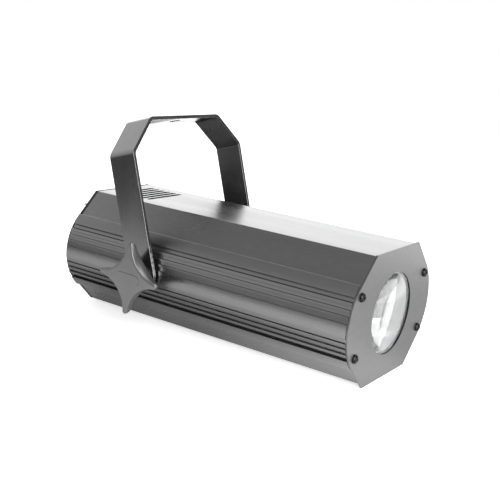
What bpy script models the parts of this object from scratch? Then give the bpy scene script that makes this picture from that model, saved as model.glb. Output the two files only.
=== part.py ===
"""An effect spotlight in a tube housing on a yoke, as separate solids.

Metres, +Z up. The lens faces -Y. The origin is level with the front plate's lower edge, under the
middle of the whole object. Lengths along the housing are first given as a depth behind the front
plate's outer face, and heights as a height above the housing's axis.
"""

import math

import bmesh
import bpy
from mathutils import Matrix, Vector

MM = 0.001

# Housing, in millimetres
HOUSING_LENGTH = 384.6
AXIS_HEIGHT = 70.0          # the axis above the surface, also the front plate's half height
SLANT_SUM = 119.1           # x + z along the front plate's slanted edge
SIDE_RADIUS = 59.1          # bowed side, tangent to both slanted edges
SIDE_CENTRE = SLANT_SUM - SIDE_RADIUS * math.sqrt(2)
PLATE_THICK = 2.0
PLATE_GAP = 0.5             # between the front plate and what it closes
LENS_HOLE_RADIUS = 44.3
END_SCREW_X, END_SCREW_Z = 73.7, 31.7
END_SCREW_HOLE = 2.8

# Covers, folded from sheet: (height of the flat face, x + z along a slanted face)
TOP_COVER = (68.6, 115.9)
BOTTOM_COVER = (67.4, 114.6)
COVER_THICK = 1.0
COVER_EDGE_Z = 37.6
COVER_END = 380.4
VENT_COUNT, VENT_PITCH = 6, 9.0
VENT_FIRST, VENT_LENGTH, VENT_WIDTH = 315.4, 62.0, 5.4

# Rear panel: a shallow tray level with the covers, with flanges flush with them
REAR_UPPER = (68.7, 116.2)
REAR_LOWER = (67.5, 114.9)
REAR_THICK, REAR_FLANGE = 1.5, 1.2
REAR_FLANGE_START, REAR_FLANGE_EDGE_Z = 380.7, 44.3

# Side profiles
PROFILE_END = 382.8
PROFILE_RADIUS = 58.9
PROFILE_INNER_RADIUS = 54.0
LIP_Z = 43.8
CHANNEL = 1.5
# bands of the bowed side from the axis up: (upper height, how deep the band lies)
BANDS = [(7.5, 0.0), (12.5, CHANNEL), (15.0, 0.0), (18.8, CHANNEL), (21.2, 0.0), (25.0, CHANNEL),
         (28.1, 0.0), (33.0, 2.5), (41.8, 0.0)]
SLOT_PLAY, SLOT_FLANGE = 0.42, 2.16     # both as x + z across the slot
SLOT_Z = 37.3
PORT_RADIUS, PORT_HOLE = 4.8, 2.2

# Yoke: a bent bar, seen from the front as a line of outer corners (x, height above the pivot)
PIVOT_DEPTH = 258.3
YOKE_TILT = math.radians(16.9)
YOKE_HALF = 100.6
YOKE_KNEE = 136.0
YOKE_TOP_HALF, YOKE_TOP = 62.8, 173.0
YOKE_WIDTH, YOKE_THICK = 36.0, 4.0
YOKE_BEND = 9.0
YOKE_HOLE_RADIUS = 6.5
STUD_RADIUS, STUD_HOLE = 4.0, 4.35

# Knobs: a star of four points
KNOB_FACE = 124.0           # the front face, out from the housing's middle
KNOB_TIP, KNOB_TIP_RADIUS = 40.5, 3.3
KNOB_WAIST = 20.0
KNOB_BACK = 102.9
KNOB_BOSS_RADIUS = 11.0
KNOB_TURN = math.radians(1.5)
PAD_LENGTH, PAD_WIDTH, PAD_RISE = 34.0, 11.5, 0.9

# Lens and light path, as depths
LENS_RADIUS, LENS_APEX, LENS_RIM, LENS_BACK = 46.5, -6.0, 2.4, 12.4
LENS_DOME_RADIUS = 43.6
WHEEL_X, WHEEL_DEPTH, WHEEL_RADIUS = -30.0, 84.0, 43.0
PATTERN_COUNT, PATTERN_RING, PATTERN_HOLE = 7, 30.0, 10.0
MOTOR_PLATE, SINK_PLATE, FAN_PLATE = 92.0, 145.2, 224.6
FAN_HALF, FAN_BORE = 40.0, 38.5
BLADE_COUNT = 7
FIN_COUNT = 13

# Rear panel
EYE_REACH = 18.0

FRONT_END = LENS_APEX
REAR_END = HOUSING_LENGTH + EYE_REACH
MIDDLE = (FRONT_END + REAR_END) / 2
ROUND = 32                  # sides of a small round piece


# Scene, collections and materials

def empty_scene():
    for obj in list(bpy.data.objects):
        bpy.data.objects.remove(obj)


def collection(name, hidden=False):
    group = bpy.data.collections.new(name)
    bpy.context.scene.collection.children.link(group)
    group.hide_render = hidden
    return group


def material(name, colour, roughness, metallic, alpha=1.0):
    made = bpy.data.materials.new(name)
    made.use_nodes = True
    shader = made.node_tree.nodes["Principled BSDF"]
    shader.inputs["Base Color"].default_value = (*colour, 1.0)
    shader.inputs["Roughness"].default_value = roughness
    shader.inputs["Metallic"].default_value = metallic
    shader.inputs["Alpha"].default_value = alpha
    return made


empty_scene()
PARTS = collection("led_spotlight")
CUTTERS = collection("cutters", hidden=True)
MATERIALS = {
    "gunmetal": material("gunmetal", (0.24, 0.24, 0.25), 0.35, 1.0),
    "gunmetal_profile": material("gunmetal_profile", (0.24, 0.24, 0.25), 0.35, 1.0),
    "plate_metal": material("plate_metal", (0.36, 0.36, 0.37), 0.4, 1.0),
    "black_steel": material("black_steel", (0.02, 0.02, 0.022), 0.45, 0.0),
    "screw_black": material("screw_black", (0.03, 0.03, 0.03), 0.3, 1.0),
    "zinc": material("zinc", (0.6, 0.6, 0.61), 0.35, 1.0),
    "cast_metal": material("cast_metal", (0.42, 0.42, 0.43), 0.4, 1.0),
    "glass": material("glass", (0.95, 0.97, 0.98), 0.02, 0.0, 0.35),
    "rubber": material("rubber", (0.03, 0.03, 0.03), 0.8, 0.0),
    "white_sheet": material("white_sheet", (0.85, 0.85, 0.85), 0.4, 0.0),
    "aluminium": material("aluminium", (0.75, 0.75, 0.76), 0.4, 1.0),
    "black_plastic": material("black_plastic", (0.025, 0.025, 0.027), 0.5, 0.0),
    "board": material("board", (0.04, 0.2, 0.1), 0.5, 0.0),
    "emitter": material("emitter", (0.9, 0.75, 0.25), 0.4, 0.0),
    "display": material("display", (0.05, 0.01, 0.01), 0.1, 0.0),
    "wire": material("wire", (0.12, 0.12, 0.13), 0.5, 0.0),
}


# Placing and shaping

def at(x, depth, height):
    """A point from millimetres across, behind the front face and above the axis, in metres."""
    return Vector((x, depth - MIDDLE, height + AXIS_HEIGHT)) * MM


def place(obj, name, finish, group=None):
    obj.name = name
    obj.data.name = name
    for home in list(obj.users_collection):
        home.objects.unlink(obj)
    (group or PARTS).objects.link(obj)
    if finish:
        obj.data.materials.clear()
        obj.data.materials.append(MATERIALS[finish])
    return obj


def smooth(obj, degrees=35):
    for face in obj.data.polygons:
        face.use_smooth = True
    obj.data.set_sharp_from_angle(angle=math.radians(degrees))


def apply_modifiers(obj):
    """Turns an object's evaluated shape into its own mesh, closed at any curve caps."""
    bpy.context.view_layer.update()
    evaluated = obj.evaluated_get(bpy.context.evaluated_depsgraph_get())
    mesh = bpy.data.meshes.new_from_object(evaluated)
    work = bmesh.new()
    work.from_mesh(mesh)
    bmesh.ops.remove_doubles(work, verts=work.verts, dist=1e-6)
    work.to_mesh(mesh)
    work.free()
    solid = bpy.data.objects.new(obj.name, mesh)
    for home in obj.users_collection:
        home.objects.link(solid)
    solid.matrix_world = obj.matrix_world
    name = obj.name
    bpy.data.objects.remove(obj)
    solid.name = name
    return solid


def boolean(obj, tool, operation="DIFFERENCE"):
    step = obj.modifiers.new(operation.lower(), "BOOLEAN")
    step.operation = operation
    step.object = tool
    step.solver = "EXACT"
    if tool.name not in CUTTERS.objects:
        place(tool, tool.name, None, CUTTERS)
    tool.hide_render = True
    tool.display_type = "WIRE"
    return obj


def box(name, finish, low, high, group=None):
    """A box between two corners, each (x, depth, height) in millimetres."""
    bpy.ops.mesh.primitive_cube_add(size=1.0)
    obj = bpy.context.object
    a, b = at(*low), at(*high)
    obj.data.transform(Matrix.Diagonal((*(b - a), 1.0)))
    obj.location = (a + b) / 2
    return place(obj, name, finish, group)


ALONG = {"X": Matrix.Rotation(math.pi / 2, 4, "Y"), "Y": Matrix.Rotation(-math.pi / 2, 4, "X"),
         "Z": Matrix.Identity(4)}


def rod(name, finish, start, length, radius, axis, sides=ROUND, group=None):
    """A cylinder from its start point along an axis, in millimetres; a negative length runs the other way."""
    bpy.ops.mesh.primitive_cylinder_add(vertices=sides, radius=radius * MM, depth=abs(length) * MM)
    obj = bpy.context.object
    obj.data.transform(ALONG[axis] @ Matrix.Translation((0, 0, length * MM / 2)))
    obj.location = at(*start)
    smooth(obj)
    return place(obj, name, finish, group)


def turned(name, finish, profile, axis, origin, sides=32, group=None):
    """A turned piece from (radius, way along the axis) points, listed from the far end to the near end."""
    mesh = bpy.data.meshes.new(name)
    mesh.from_pydata([(r * MM, 0, h * MM) for r, h in profile],
                     [(i, i + 1) for i in range(len(profile) - 1)], [])
    obj = bpy.data.objects.new(name, mesh)
    PARTS.objects.link(obj)
    turn = obj.modifiers.new("turn", "SCREW")
    turn.steps = turn.render_steps = sides
    turn.use_merge_vertices = True
    turn.merge_threshold = 0.00001
    turn.use_smooth_shade = True
    place(obj, name, finish, group)
    obj = apply_modifiers(obj)
    obj.data.transform(ALONG[axis])
    obj.location = at(*origin)
    smooth(obj)
    return place(obj, name, finish, group)


def flat(name, finish, outlines, thick, group=None):
    """A flat sheet from closed outlines of (across, up) millimetres; the later outlines are its holes.

    The sheet stands in the XZ plane, from its origin back along +Y.
    """
    curve = bpy.data.curves.new(name, "CURVE")
    curve.dimensions = "2D"
    curve.fill_mode = "BOTH"
    curve.extrude = thick * MM / 2
    for points in outlines:
        line = curve.splines.new("POLY")
        line.points.add(len(points) - 1)
        for point, (x, z) in zip(line.points, points):
            point.co = (x * MM, z * MM, 0, 1)
        line.use_cyclic_u = True
    obj = place(bpy.data.objects.new(name, curve), name, finish, group)
    obj = apply_modifiers(obj)
    obj.data.transform(Matrix.Translation((0, thick * MM / 2, 0)) @ Matrix.Rotation(math.pi / 2, 4, "X"))
    return place(obj, name, finish, group)


def circle(radius, x=0.0, z=0.0, sides=ROUND, first=0.0):
    return [(x + radius * math.cos(first + 2 * math.pi * k / sides),
             z + radius * math.sin(first + 2 * math.pi * k / sides)) for k in range(sides)]


def rectangle(x0, z0, x1, z1):
    return [(x0, z0), (x1, z0), (x1, z1), (x0, z1)]


def arc(x, z, radius, start, end, steps):
    """Points on an arc, angles in degrees."""
    return [(x + radius * math.cos(math.radians(start + (end - start) * k / steps)),
             z + radius * math.sin(math.radians(start + (end - start) * k / steps)))
            for k in range(steps + 1)]


def capsule(x, z, length, width, sides=8):
    """A slot's outline, lying across."""
    reach = (length - width) / 2
    return arc(x + reach, z, width / 2, -90, 90, sides) + arc(x - reach, z, width / 2, 90, 270, sides)


def joined(name, finish, first, *others):
    """Several overlapping solids made one by Boolean unions."""
    for other in others:
        boolean(first, other, "UNION")
    solid = apply_modifiers(first)
    smooth(solid)
    return place(solid, name, finish)


def drilled(obj, *tools):
    for tool in tools:
        boolean(obj, tool)
    finish = obj.data.materials[0].name
    name = obj.name
    solid = apply_modifiers(obj)
    smooth(solid)
    return place(solid, name, finish)


def mirrored(outline):
    return [(-x, z) for x, z in reversed(outline)]


# Housing

def plate_outline(upper, lower):
    """An end plate's outline: flat top and bottom, slanted corners and bowed sides.

    Upper and lower are each a height and the x + z along the slants beside it. The bowed sides
    touch the upper slants and may cross the lower ones.
    """
    radius, reach = ((total - SIDE_CENTRE) / math.sqrt(2) for height, total in (upper, lower))
    start = math.degrees(math.acos(min(1.0, reach / radius))) - 45
    right = arc(SIDE_CENTRE, 0, radius, start, 45, 24)
    side = [(lower[1] - lower[0], -lower[0]), *right, (upper[1] - upper[0], upper[0])]
    return side + mirrored(side)


def end_screw_places():
    return [(x, z) for x in (-END_SCREW_X, END_SCREW_X) for z in (END_SCREW_Z, -END_SCREW_Z)]


def end_screw_holes():
    return [circle(END_SCREW_HOLE, x, z, 12) for x, z in end_screw_places()]


def front_plate():
    outline = plate_outline((AXIS_HEIGHT, SLANT_SUM), (AXIS_HEIGHT, SLANT_SUM))
    holes = [circle(LENS_HOLE_RADIUS, sides=64), *end_screw_holes()]
    plate = flat("front_plate", "plate_metal", [outline, *holes], PLATE_THICK)
    plate.location = at(0, 0, 0)


def folded(height, total, thick, edge_z, way):
    """The section of a sheet folded over the top (way 1) or under the bottom (way -1) of the housing."""
    turn = thick / math.sqrt(2)
    inside = height - thick
    side = [(total - edge_z, edge_z), (total - height, height)]
    inner = [(total - 2 * turn - inside, inside), (total - edge_z - turn, edge_z - turn)]
    outline = [*side, *mirrored(side), *mirrored(inner), *inner]
    return [(x, way * z) for x, z in outline]


def cover(name, shape, way):
    start = PLATE_THICK + PLATE_GAP
    outline = folded(*shape, COVER_THICK, COVER_EDGE_Z, way)
    obj = flat(name, "gunmetal", [outline], COVER_END - start)
    obj.location = at(0, start, 0)
    return obj


def top_cover():
    obj = cover("top_cover", TOP_COVER, 1)
    slots = []
    for k in range(VENT_COUNT):
        slot = flat(f"vent_slot_{k + 1}", None, [capsule(0, 0, VENT_LENGTH, VENT_WIDTH, 5)], 12, CUTTERS)
        slot.data.transform(Matrix.Rotation(-math.pi / 2, 4, "X"))
        slot.location = at(0, VENT_FIRST + k * VENT_PITCH, TOP_COVER[0] + 6)
        slots.append(slot)
    drilled(obj, *slots)


def profile_half(total):
    """The upper half of the right profile's section, its slot made for a cover with that x + z.

    A bowed, banded skin from the axis up, then a lip, a slot, a flange, a screw port and the inner wall.
    """
    skin = []
    lower = 0.0
    for upper, depth in BANDS:
        radius = PROFILE_RADIUS - depth
        start, end = (math.degrees(math.asin(h / radius)) for h in (lower, upper))
        skin += arc(SIDE_CENTRE, 0, radius, start, end, 1 if depth else 2)
        lower = upper
    slot_outer = total + SLOT_PLAY
    slot_inner = total - COVER_THICK * math.sqrt(2) - SLOT_PLAY
    flange_inner = slot_inner - SLOT_FLANGE
    lip_sum = SIDE_CENTRE + PROFILE_RADIUS * math.sqrt(2)
    lip_x = lip_sum - LIP_Z
    step = (lip_sum - slot_outer) / 2
    width = (slot_outer - slot_inner) / 2
    slot_x = slot_outer - SLOT_Z
    flange_z = LIP_Z - 1.0
    lip = [(lip_x, LIP_Z), (lip_x - step, LIP_Z - step),
           (slot_x, SLOT_Z), (slot_x - width, SLOT_Z - width),
           (slot_inner - flange_z, flange_z),
           (flange_inner - flange_z + 1.1, flange_z - 1.1), (flange_inner - 37.5, 37.5)]
    port = arc(END_SCREW_X, END_SCREW_Z, PORT_RADIUS, 120, 270, 6)
    wall_z = END_SCREW_Z - PORT_RADIUS
    wall_angle = math.degrees(math.asin(wall_z / PROFILE_INNER_RADIUS))
    wall = arc(SIDE_CENTRE, 0, PROFILE_INNER_RADIUS, wall_angle, 2.0, 6)
    return skin[1:] + lip + port + wall


def side_profile(name, way):
    """A side extrusion; way is 1 on the right and -1 on the left."""
    lower = [(x, -z) for x, z in reversed(profile_half(BOTTOM_COVER[1]))]
    ports = [circle(PORT_HOLE, END_SCREW_X, z, 12) for z in (END_SCREW_Z, -END_SCREW_Z)]
    outlines = [profile_half(TOP_COVER[1]) + lower, *ports]
    if way < 0:
        outlines = [mirrored(line) for line in outlines]
    start = PLATE_THICK + PLATE_GAP
    obj = flat(name, "gunmetal_profile", outlines, PROFILE_END - start)
    obj.location = at(0, start, 0)
    hole = rod(f"{name}_pivot_hole", None, (way * 80, PIVOT_DEPTH, 0), way * 30, STUD_HOLE, "X", 16, CUTTERS)
    drilled(obj, hole)


def button_screw(name, x, z, face, way):
    """A button-head screw on a plate face at that depth; way is -1 when its head points to the front."""
    profile = [(0, 1.4), (1.7, 1.4), (1.7, 3.2), (3.0, 3.1), (4.2, 2.2), (4.75, 0.9), (4.75, 0.15),
               (2.0, 0.15), (2.0, -15.6), (1.4, -16.0), (0, -16.0)]
    obj = turned(name, "screw_black", profile, "Y", (x, face, z), sides=14)
    if way < 0:
        obj.data.transform(Matrix.Rotation(math.pi, 4, "Z"))


def end_screws():
    for k, (x, z) in enumerate(end_screw_places(), 1):
        button_screw(f"front_screw_{k}", x, z, 0, -1)
        button_screw(f"rear_screw_{k}", x, z, HOUSING_LENGTH, 1)


# Yoke and its clamping

def bend(corner, before, after, radius, steps=4):
    """Rounds one corner of a line of points to a radius."""
    a, b, c = (Vector(p) for p in (before, corner, after))
    u, v = (a - b).normalized(), (c - b).normalized()
    half = u.angle(v) / 2
    reach = radius / math.tan(half)
    centre = b + (u + v).normalized() * radius / math.sin(half)
    start, end = b + u * reach - centre, b + v * reach - centre
    sweep = start.angle_signed(end)
    return [tuple(centre + Matrix.Rotation(-sweep * k / steps, 2) @ start) for k in range(steps + 1)]


def yoke_line(inset):
    """The bar's outer line, or its inner one, from the right arm's foot over the top to the left arm's foot."""
    knee = YOKE_THICK * math.tan(math.pi / 8) if inset else 0.0
    x, top = YOKE_HALF - inset, YOKE_TOP - inset
    foot = -YOKE_WIDTH
    right = [(x, foot), (x, YOKE_KNEE - knee), (YOKE_TOP_HALF - knee, top)]
    corners = right + mirrored(right)
    radius = YOKE_BEND - inset
    line = [corners[0]]
    for before, corner, after in zip(corners, corners[1:], corners[2:]):
        line += bend(corner, before, after, radius)
    return line + [corners[-1]]


def yoke():
    bar = flat("yoke", "gunmetal", [yoke_line(0) + yoke_line(YOKE_THICK)[::-1]], YOKE_WIDTH)
    bar.data.transform(Matrix.Translation((0, -YOKE_WIDTH * MM / 2, 0)))
    half = YOKE_WIDTH / 2
    feet = arc(0, 0, half, 180, 360, 14) + [(half, YOKE_TOP + 20), (-half, YOKE_TOP + 20)]
    rounding = flat("yoke_rounding", None, [feet], 3 * YOKE_HALF, CUTTERS)
    rounding.data.transform(Matrix.Rotation(math.pi / 2, 4, "Z")
                            @ Matrix.Translation((0, -1.5 * YOKE_HALF * MM, 0)))
    boolean(bar, rounding, "INTERSECT")
    pivot = rod("yoke_pivot_hole", None, (-1.5 * YOKE_HALF, 0, 0), 3 * YOKE_HALF, STUD_HOLE, "X", 16, CUTTERS)
    top = rod("yoke_top_hole", None, (0, 0, YOKE_TOP - 10), 20, YOKE_HOLE_RADIUS, "Z", 24, CUTTERS)
    for tool in (pivot, top):
        tool.location -= at(0, 0, 0)
    obj = drilled(bar, pivot, top)
    obj.location = at(0, PIVOT_DEPTH, 0)
    obj.rotation_euler.x = -YOKE_TILT


def star_outline(inset):
    """The knob's outline moved evenly inwards: four narrow round tips joined by hollow sides."""
    side = KNOB_TIP - KNOB_TIP_RADIUS
    narrow = KNOB_WAIST - KNOB_TIP_RADIUS
    # a hollow side is a circle about a point on the diagonal, touching two tips and the waist
    centre = (narrow ** 2 - side ** 2) / (2 * math.sqrt(2) * narrow - 2 * side)
    radius = centre * math.sqrt(2) - KNOB_WAIST
    lean = math.degrees(math.atan2(centre - side, centre))
    quarter = arc(side, 0, KNOB_TIP_RADIUS - inset, lean - 90, 90 - lean, 4)
    quarter += arc(centre, centre, radius + inset, -90 - lean, lean - 180, 9)[1:-1]
    outline = []
    for number in range(4):
        turn = Matrix.Rotation(math.pi / 2 * number, 2)
        outline += [turn @ Vector(point) for point in quarter]
    return outline


def knob_depth(point):
    """How far the knob's hollow cone of a back lies behind its face, deepest at the hub."""
    return 17.0 - 0.39 * (point.length - 17.0)


def knob(name, way):
    """A cast star knob, flat in front with a plain raised pad, and deeper at the hub than at its tips."""
    star = bmesh.new()
    outer = star_outline(0.0)
    rings = [[Vector((p.x, 0, p.y)) for p in star_outline(0.6)], [Vector((p.x, -0.8, p.y)) for p in outer]]
    for inset, share in ((0.2, 0.5), (1.0, 0.85), (2.5, 1.0)):
        rings.append([Vector((p.x, -share * knob_depth(q), p.y)) for p, q in zip(star_outline(inset), outer)])
    for depth in (knob_depth(Vector((KNOB_BOSS_RADIUS, 0))), KNOB_FACE - KNOB_BACK):
        rings.append([Vector((p.x, -depth, p.y)) for p in (q.normalized() * KNOB_BOSS_RADIUS for q in outer)])
    loops = []
    for ring in rings:
        verts = [star.verts.new(point * MM) for point in ring]
        loops.append([star.edges.new((verts[k - 1], verts[k])) for k in range(len(verts))])
    for near, far in zip(loops, loops[1:]):
        bmesh.ops.bridge_loops(star, edges=near + far)
    for end in (loops[0], loops[-1]):
        bmesh.ops.edgeloop_fill(star, edges=end)
    bmesh.ops.recalc_face_normals(star, faces=star.faces)
    bmesh.ops.triangulate(star, faces=star.faces)
    mesh = bpy.data.meshes.new(name)
    star.to_mesh(mesh)
    star.free()
    obj = place(bpy.data.objects.new(name, mesh), name, "cast_metal")
    hole = rod(f"{name}_hole", None, (0, 0, 0), 15.5, STUD_HOLE, "Y", 16, CUTTERS)
    hole.data.transform(Matrix.Translation((0, -(KNOB_FACE - KNOB_BACK + 1) * MM, 0)))
    hole.location = (0, 0, 0)
    pad = flat(f"{name}_pad", None, [capsule(0, 0, PAD_LENGTH, PAD_WIDTH, 6)], PAD_RISE + 1, CUTTERS)
    pad.data.transform(Matrix.Translation((0, -MM, 0)))
    boolean(obj, hole)
    boolean(obj, pad, "UNION")
    obj = apply_modifiers(obj)
    smooth(obj)
    place(obj, name, "cast_metal")
    obj.data.transform(Matrix.Rotation(KNOB_TURN, 4, "X") @ Matrix.Rotation(-way * math.pi / 2, 4, "Z"))
    obj.location = at(way * KNOB_FACE, PIVOT_DEPTH, 0)


def clamp(side, way):
    """Everything on one pivot: knob, stud, washer, friction disc and the nut inside the profile."""
    knob(f"{side}_knob", way)
    rod(f"{side}_knob_stud", "zinc", (way * 79, PIVOT_DEPTH, 0), way * 37.3, STUD_RADIUS, "X", 16)
    for name, finish, start, thick, radius in (
            (f"{side}_knob_washer", "zinc", 100.9, 1.7, 9.5),
            (f"{side}_friction_disc", "rubber", 94.75, 1.55, 13.5)):
        ring = rod(name, finish, (way * start, PIVOT_DEPTH, 0), way * thick, radius, "X", 28)
        hole = rod(f"{name}_hole", None, (way * (start - 1), PIVOT_DEPTH, 0), way * (thick + 2), STUD_HOLE, "X",
                   16, CUTTERS)
        drilled(ring, hole)
    nut = box(f"{side}_pivot_nut", "zinc", (way * 80.6 - (way < 0) * 5.8, PIVOT_DEPTH - 15, -11),
              (way * 80.6 + (way > 0) * 5.8, PIVOT_DEPTH + 15, 11))
    hole = rod(f"{side}_nut_hole", None, (way * 75, PIVOT_DEPTH, 0), way * 18, STUD_HOLE, "X", 16, CUTTERS)
    drilled(nut, hole)


# Light path

def front_lens():
    rise = LENS_RIM - LENS_APEX
    radius = (LENS_DOME_RADIUS ** 2 + rise ** 2) / (2 * rise)
    half = math.degrees(math.asin(LENS_DOME_RADIUS / radius))
    dome = [(x, LENS_APEX + radius + z) for z, x in arc(0, 0, radius, 180 - half, 180, 8)]
    profile = [(0, LENS_BACK), (LENS_RADIUS - 0.6, LENS_BACK), (LENS_RADIUS, LENS_BACK - 0.6),
               (LENS_RADIUS, LENS_RIM + 0.3), (LENS_RADIUS - 0.3, LENS_RIM), *dome[:-1], (0, LENS_APEX)]
    turned("front_lens", "glass", profile, "Y", (0, 0, 0), sides=48)


def ring(name, finish, outer, inner, near, far, sides=40):
    profile = [(inner, near), (inner, far), (outer, far), (outer, near), (inner, near)]
    return turned(name, finish, profile, "Y", (0, 0, 0), sides)


def eight_sided(flats):
    return circle(flats / 2 / math.cos(math.pi / 8), sides=8, first=math.pi / 8)


def optics():
    front_lens()
    ring("lens_ring", "black_plastic", 49.6, 43.0, LENS_BACK + 0.3, LENS_BACK + 3.8)
    baffle = flat("light_baffle", "white_sheet", [eight_sided(95.0), eight_sided(92.6)], 52)
    baffle.location = at(0, LENS_BACK + 4.1, 0)

    holes = [circle(PATTERN_HOLE, PATTERN_RING * math.cos(2 * math.pi * k / PATTERN_COUNT),
                    PATTERN_RING * math.sin(2 * math.pi * k / PATTERN_COUNT), 14) for k in range(PATTERN_COUNT)]
    wheel = flat("pattern_wheel", "black_steel",
                 [circle(WHEEL_RADIUS, sides=40), circle(4.3, sides=16), *holes], 1.5)
    wheel.location = at(WHEEL_X, WHEEL_DEPTH, 0)
    hub = [(0, 25), (2.4, 25), (2.4, 6.2), (8, 6.2), (8, 1.8), (4, 1.8), (4, -0.3), (8, -0.3), (8, -3), (0, -3)]
    turned("wheel_hub", "aluminium", hub, "Y", (WHEEL_X, WHEEL_DEPTH, 0), 20)
    motor = box("wheel_motor", "black_plastic", (WHEEL_X - 14, MOTOR_PLATE + 0.3, -14),
                (WHEEL_X + 14, MOTOR_PLATE + 24.5, 14))
    boss = rod("motor_boss", None, (WHEEL_X, MOTOR_PLATE - 1.0, 0), 5, 9, "Y", 24, CUTTERS)
    bore = rod("motor_bore", None, (WHEEL_X, MOTOR_PLATE - 2, 0), 22, 2.75, "Y", 16, CUTTERS)
    boolean(motor, boss, "UNION")
    drilled(motor, bore)

    holder = [(18.5, -25), (22.5, -25), (22.5, -4), (26, -4), (26, 0), (17, 0), (17, -9), (20.4, -9),
              (20.4, -23), (18.5, -23), (18.5, -25)]
    turned("condenser_holder", "black_plastic", holder[::-1], "Y", (0, SINK_PLATE - 0.3, 0), 28)
    bulge = [(20.1 * math.sin(math.radians(a)), -15 - 7.4 * math.cos(math.radians(a)))
             for a in range(0, 91, 18)]
    turned("condenser_lens", "glass", [(0, -9.4), (20.1, -9.4), *bulge[::-1]], "Y",
           (0, SINK_PLATE - 0.3, 0), 28)


def cooling():
    front = SINK_PLATE + 1.8
    base = box("sink_base", None, (-42, front, -42), (42, front + 6, 42), CUTTERS)
    fins = []
    for k in range(FIN_COUNT):
        x = -41 + 82 * k / (FIN_COUNT - 1)
        low, high = (x - 0.9, front + 5, -42), (x + 0.9, front + 54, 42)
        fins.append(box(f"sink_fin_{k + 1}", None, low, high, CUTTERS))
    joined("heat_sink", "aluminium", base, *fins)
    box("led_board", "white_sheet", (-16, SINK_PLATE - 0.1, -16), (16, SINK_PLATE + 1.5, 16))
    box("led_emitter", "emitter", (-9, SINK_PLATE - 2.6, -9), (9, SINK_PLATE - 0.4, 9))

    fan_front = FAN_PLATE - 20.3
    frame = flat("fan_frame", "black_plastic",
                 [rectangle(-FAN_HALF, -FAN_HALF, FAN_HALF, FAN_HALF), circle(FAN_BORE, sides=36),
                  *[circle(2.2, x, z, 8) for x in (-35.7, 35.7) for z in (-35.7, 35.7)]], 20)
    frame.location = at(0, fan_front, 0)
    mount = rod("fan_mount", None, (0, fan_front + 16.5, 0), 3.3, 17, "Y", 24, CUTTERS)
    across = box("fan_strut_across", None, (-39.2, fan_front + 17, -2), (39.2, fan_front + 19.6, 2), CUTTERS)
    low, high = (-2.3, fan_front + 17.3, -39.3), (2.3, fan_front + 19.3, 39.3)
    up = box("fan_strut_up", None, low, high, CUTTERS)
    pin = rod("fan_pin", None, (0, fan_front + 8, 0), 10, 1.8, "Y", 12, CUTTERS)
    joined("fan_frame", "black_plastic", frame, mount, across, up, pin)

    hub = turned("rotor_hub", None, [(2.1, 16), (17, 16), (17, 1), (0, 1), (0, 6), (2.1, 6), (2.1, 16)], "Y",
                 (0, fan_front, 0), 28, CUTTERS)
    blades = []
    for k in range(BLADE_COUNT):
        blade = box(f"fan_blade_{k + 1}", None, (-10.5, -0.7, -6.5), (10.5, 0.7, 6.5), CUTTERS)
        blade.data.transform(Matrix.Translation((26.0 * MM, 0, 0)) @ Matrix.Rotation(math.radians(42), 4, "X"))
        blade.data.transform(Matrix.Rotation(2 * math.pi * k / BLADE_COUNT, 4, "Y"))
        blade.location = at(0, fan_front + 8.5, 0)
        blades.append(blade)
    joined("fan_rotor", "black_plastic", hub, *blades)


def chassis():
    """A folded tray on the bottom cover with three upright plates."""
    floor = -BOTTOM_COVER[0] + COVER_THICK + 0.3
    base = box("chassis", "aluminium", (-38, 72, floor), (38, 346, floor + 1.5))
    motor_plate = flat("motor_plate", None, [
        [(-56, -48), (-38, floor + 0.5), (38, floor + 0.5), (38, 24), (-56, 24)],
        circle(19, sides=28), circle(9.4, WHEEL_X, 0, 24)], 1.5, CUTTERS)
    sink_plate = flat("sink_plate", None,
                      [rectangle(-38, floor + 0.5, 38, 44), rectangle(-17, -17, 17, 17)], 1.5, CUTTERS)
    fan_plate = flat("fan_upright", None,
                     [rectangle(-38, floor + 0.5, 38, 40), circle(36, sides=36)], 1.5, CUTTERS)
    for plate, depth in ((motor_plate, MOTOR_PLATE - 1.5), (sink_plate, SINK_PLATE), (fan_plate, FAN_PLATE)):
        plate.location = at(0, depth, 0)
    joined("chassis", "aluminium", base, motor_plate, sink_plate, fan_plate)


# Electronics

def boards():
    low = -BOTTOM_COVER[0] + COVER_THICK + 2.1
    case = box("power_supply", "aluminium", (-36, 236, low), (36, 332, low + 34))
    terminals = box("terminal_block", None, (-26, 331, low + 4), (26, 341, low + 16), CUTTERS)
    joined("power_supply", "aluminium", case, terminals)

    top = low + 34 + 0.3
    board = box("driver_board", "board", (-34, 244, top + 6), (34, 328, top + 7.6))
    pieces = [box(f"driver_post_{k}", None, (x - 2.5, y - 2.5, top), (x + 2.5, y + 2.5, top + 6.5), CUTTERS)
              for k, (x, y) in enumerate((x, y) for x in (-30, 30) for y in (248, 324))]
    pieces.append(box("driver_coil", None, (-24, 252, top + 7), (2, 276, top + 28), CUTTERS))
    pieces += [rod(f"driver_can_{k}", None, (16, 258 + 18 * k, top + 7), 22, 6.5, "Z", 20, CUTTERS)
               for k in range(3)]
    pieces.append(box("driver_chip", None, (-20, 288, top + 7), (0, 308, top + 10), CUTTERS))
    joined("driver_board", "board", board, *pieces)

    back = HOUSING_LENGTH - REAR_THICK - 0.3
    control = box("control_board", "board", (-30, back - 10, 20), (38, back - 8.4, 62))
    spacers = [rod(f"control_post_{k}", None, (x, back - 9, z), 9, 2.5, "Y", 14, CUTTERS)
               for k, (x, z) in enumerate((x, z) for x in (-27, 35) for z in (23, 56))]
    joined("control_board", "board", control, *spacers)


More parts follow.
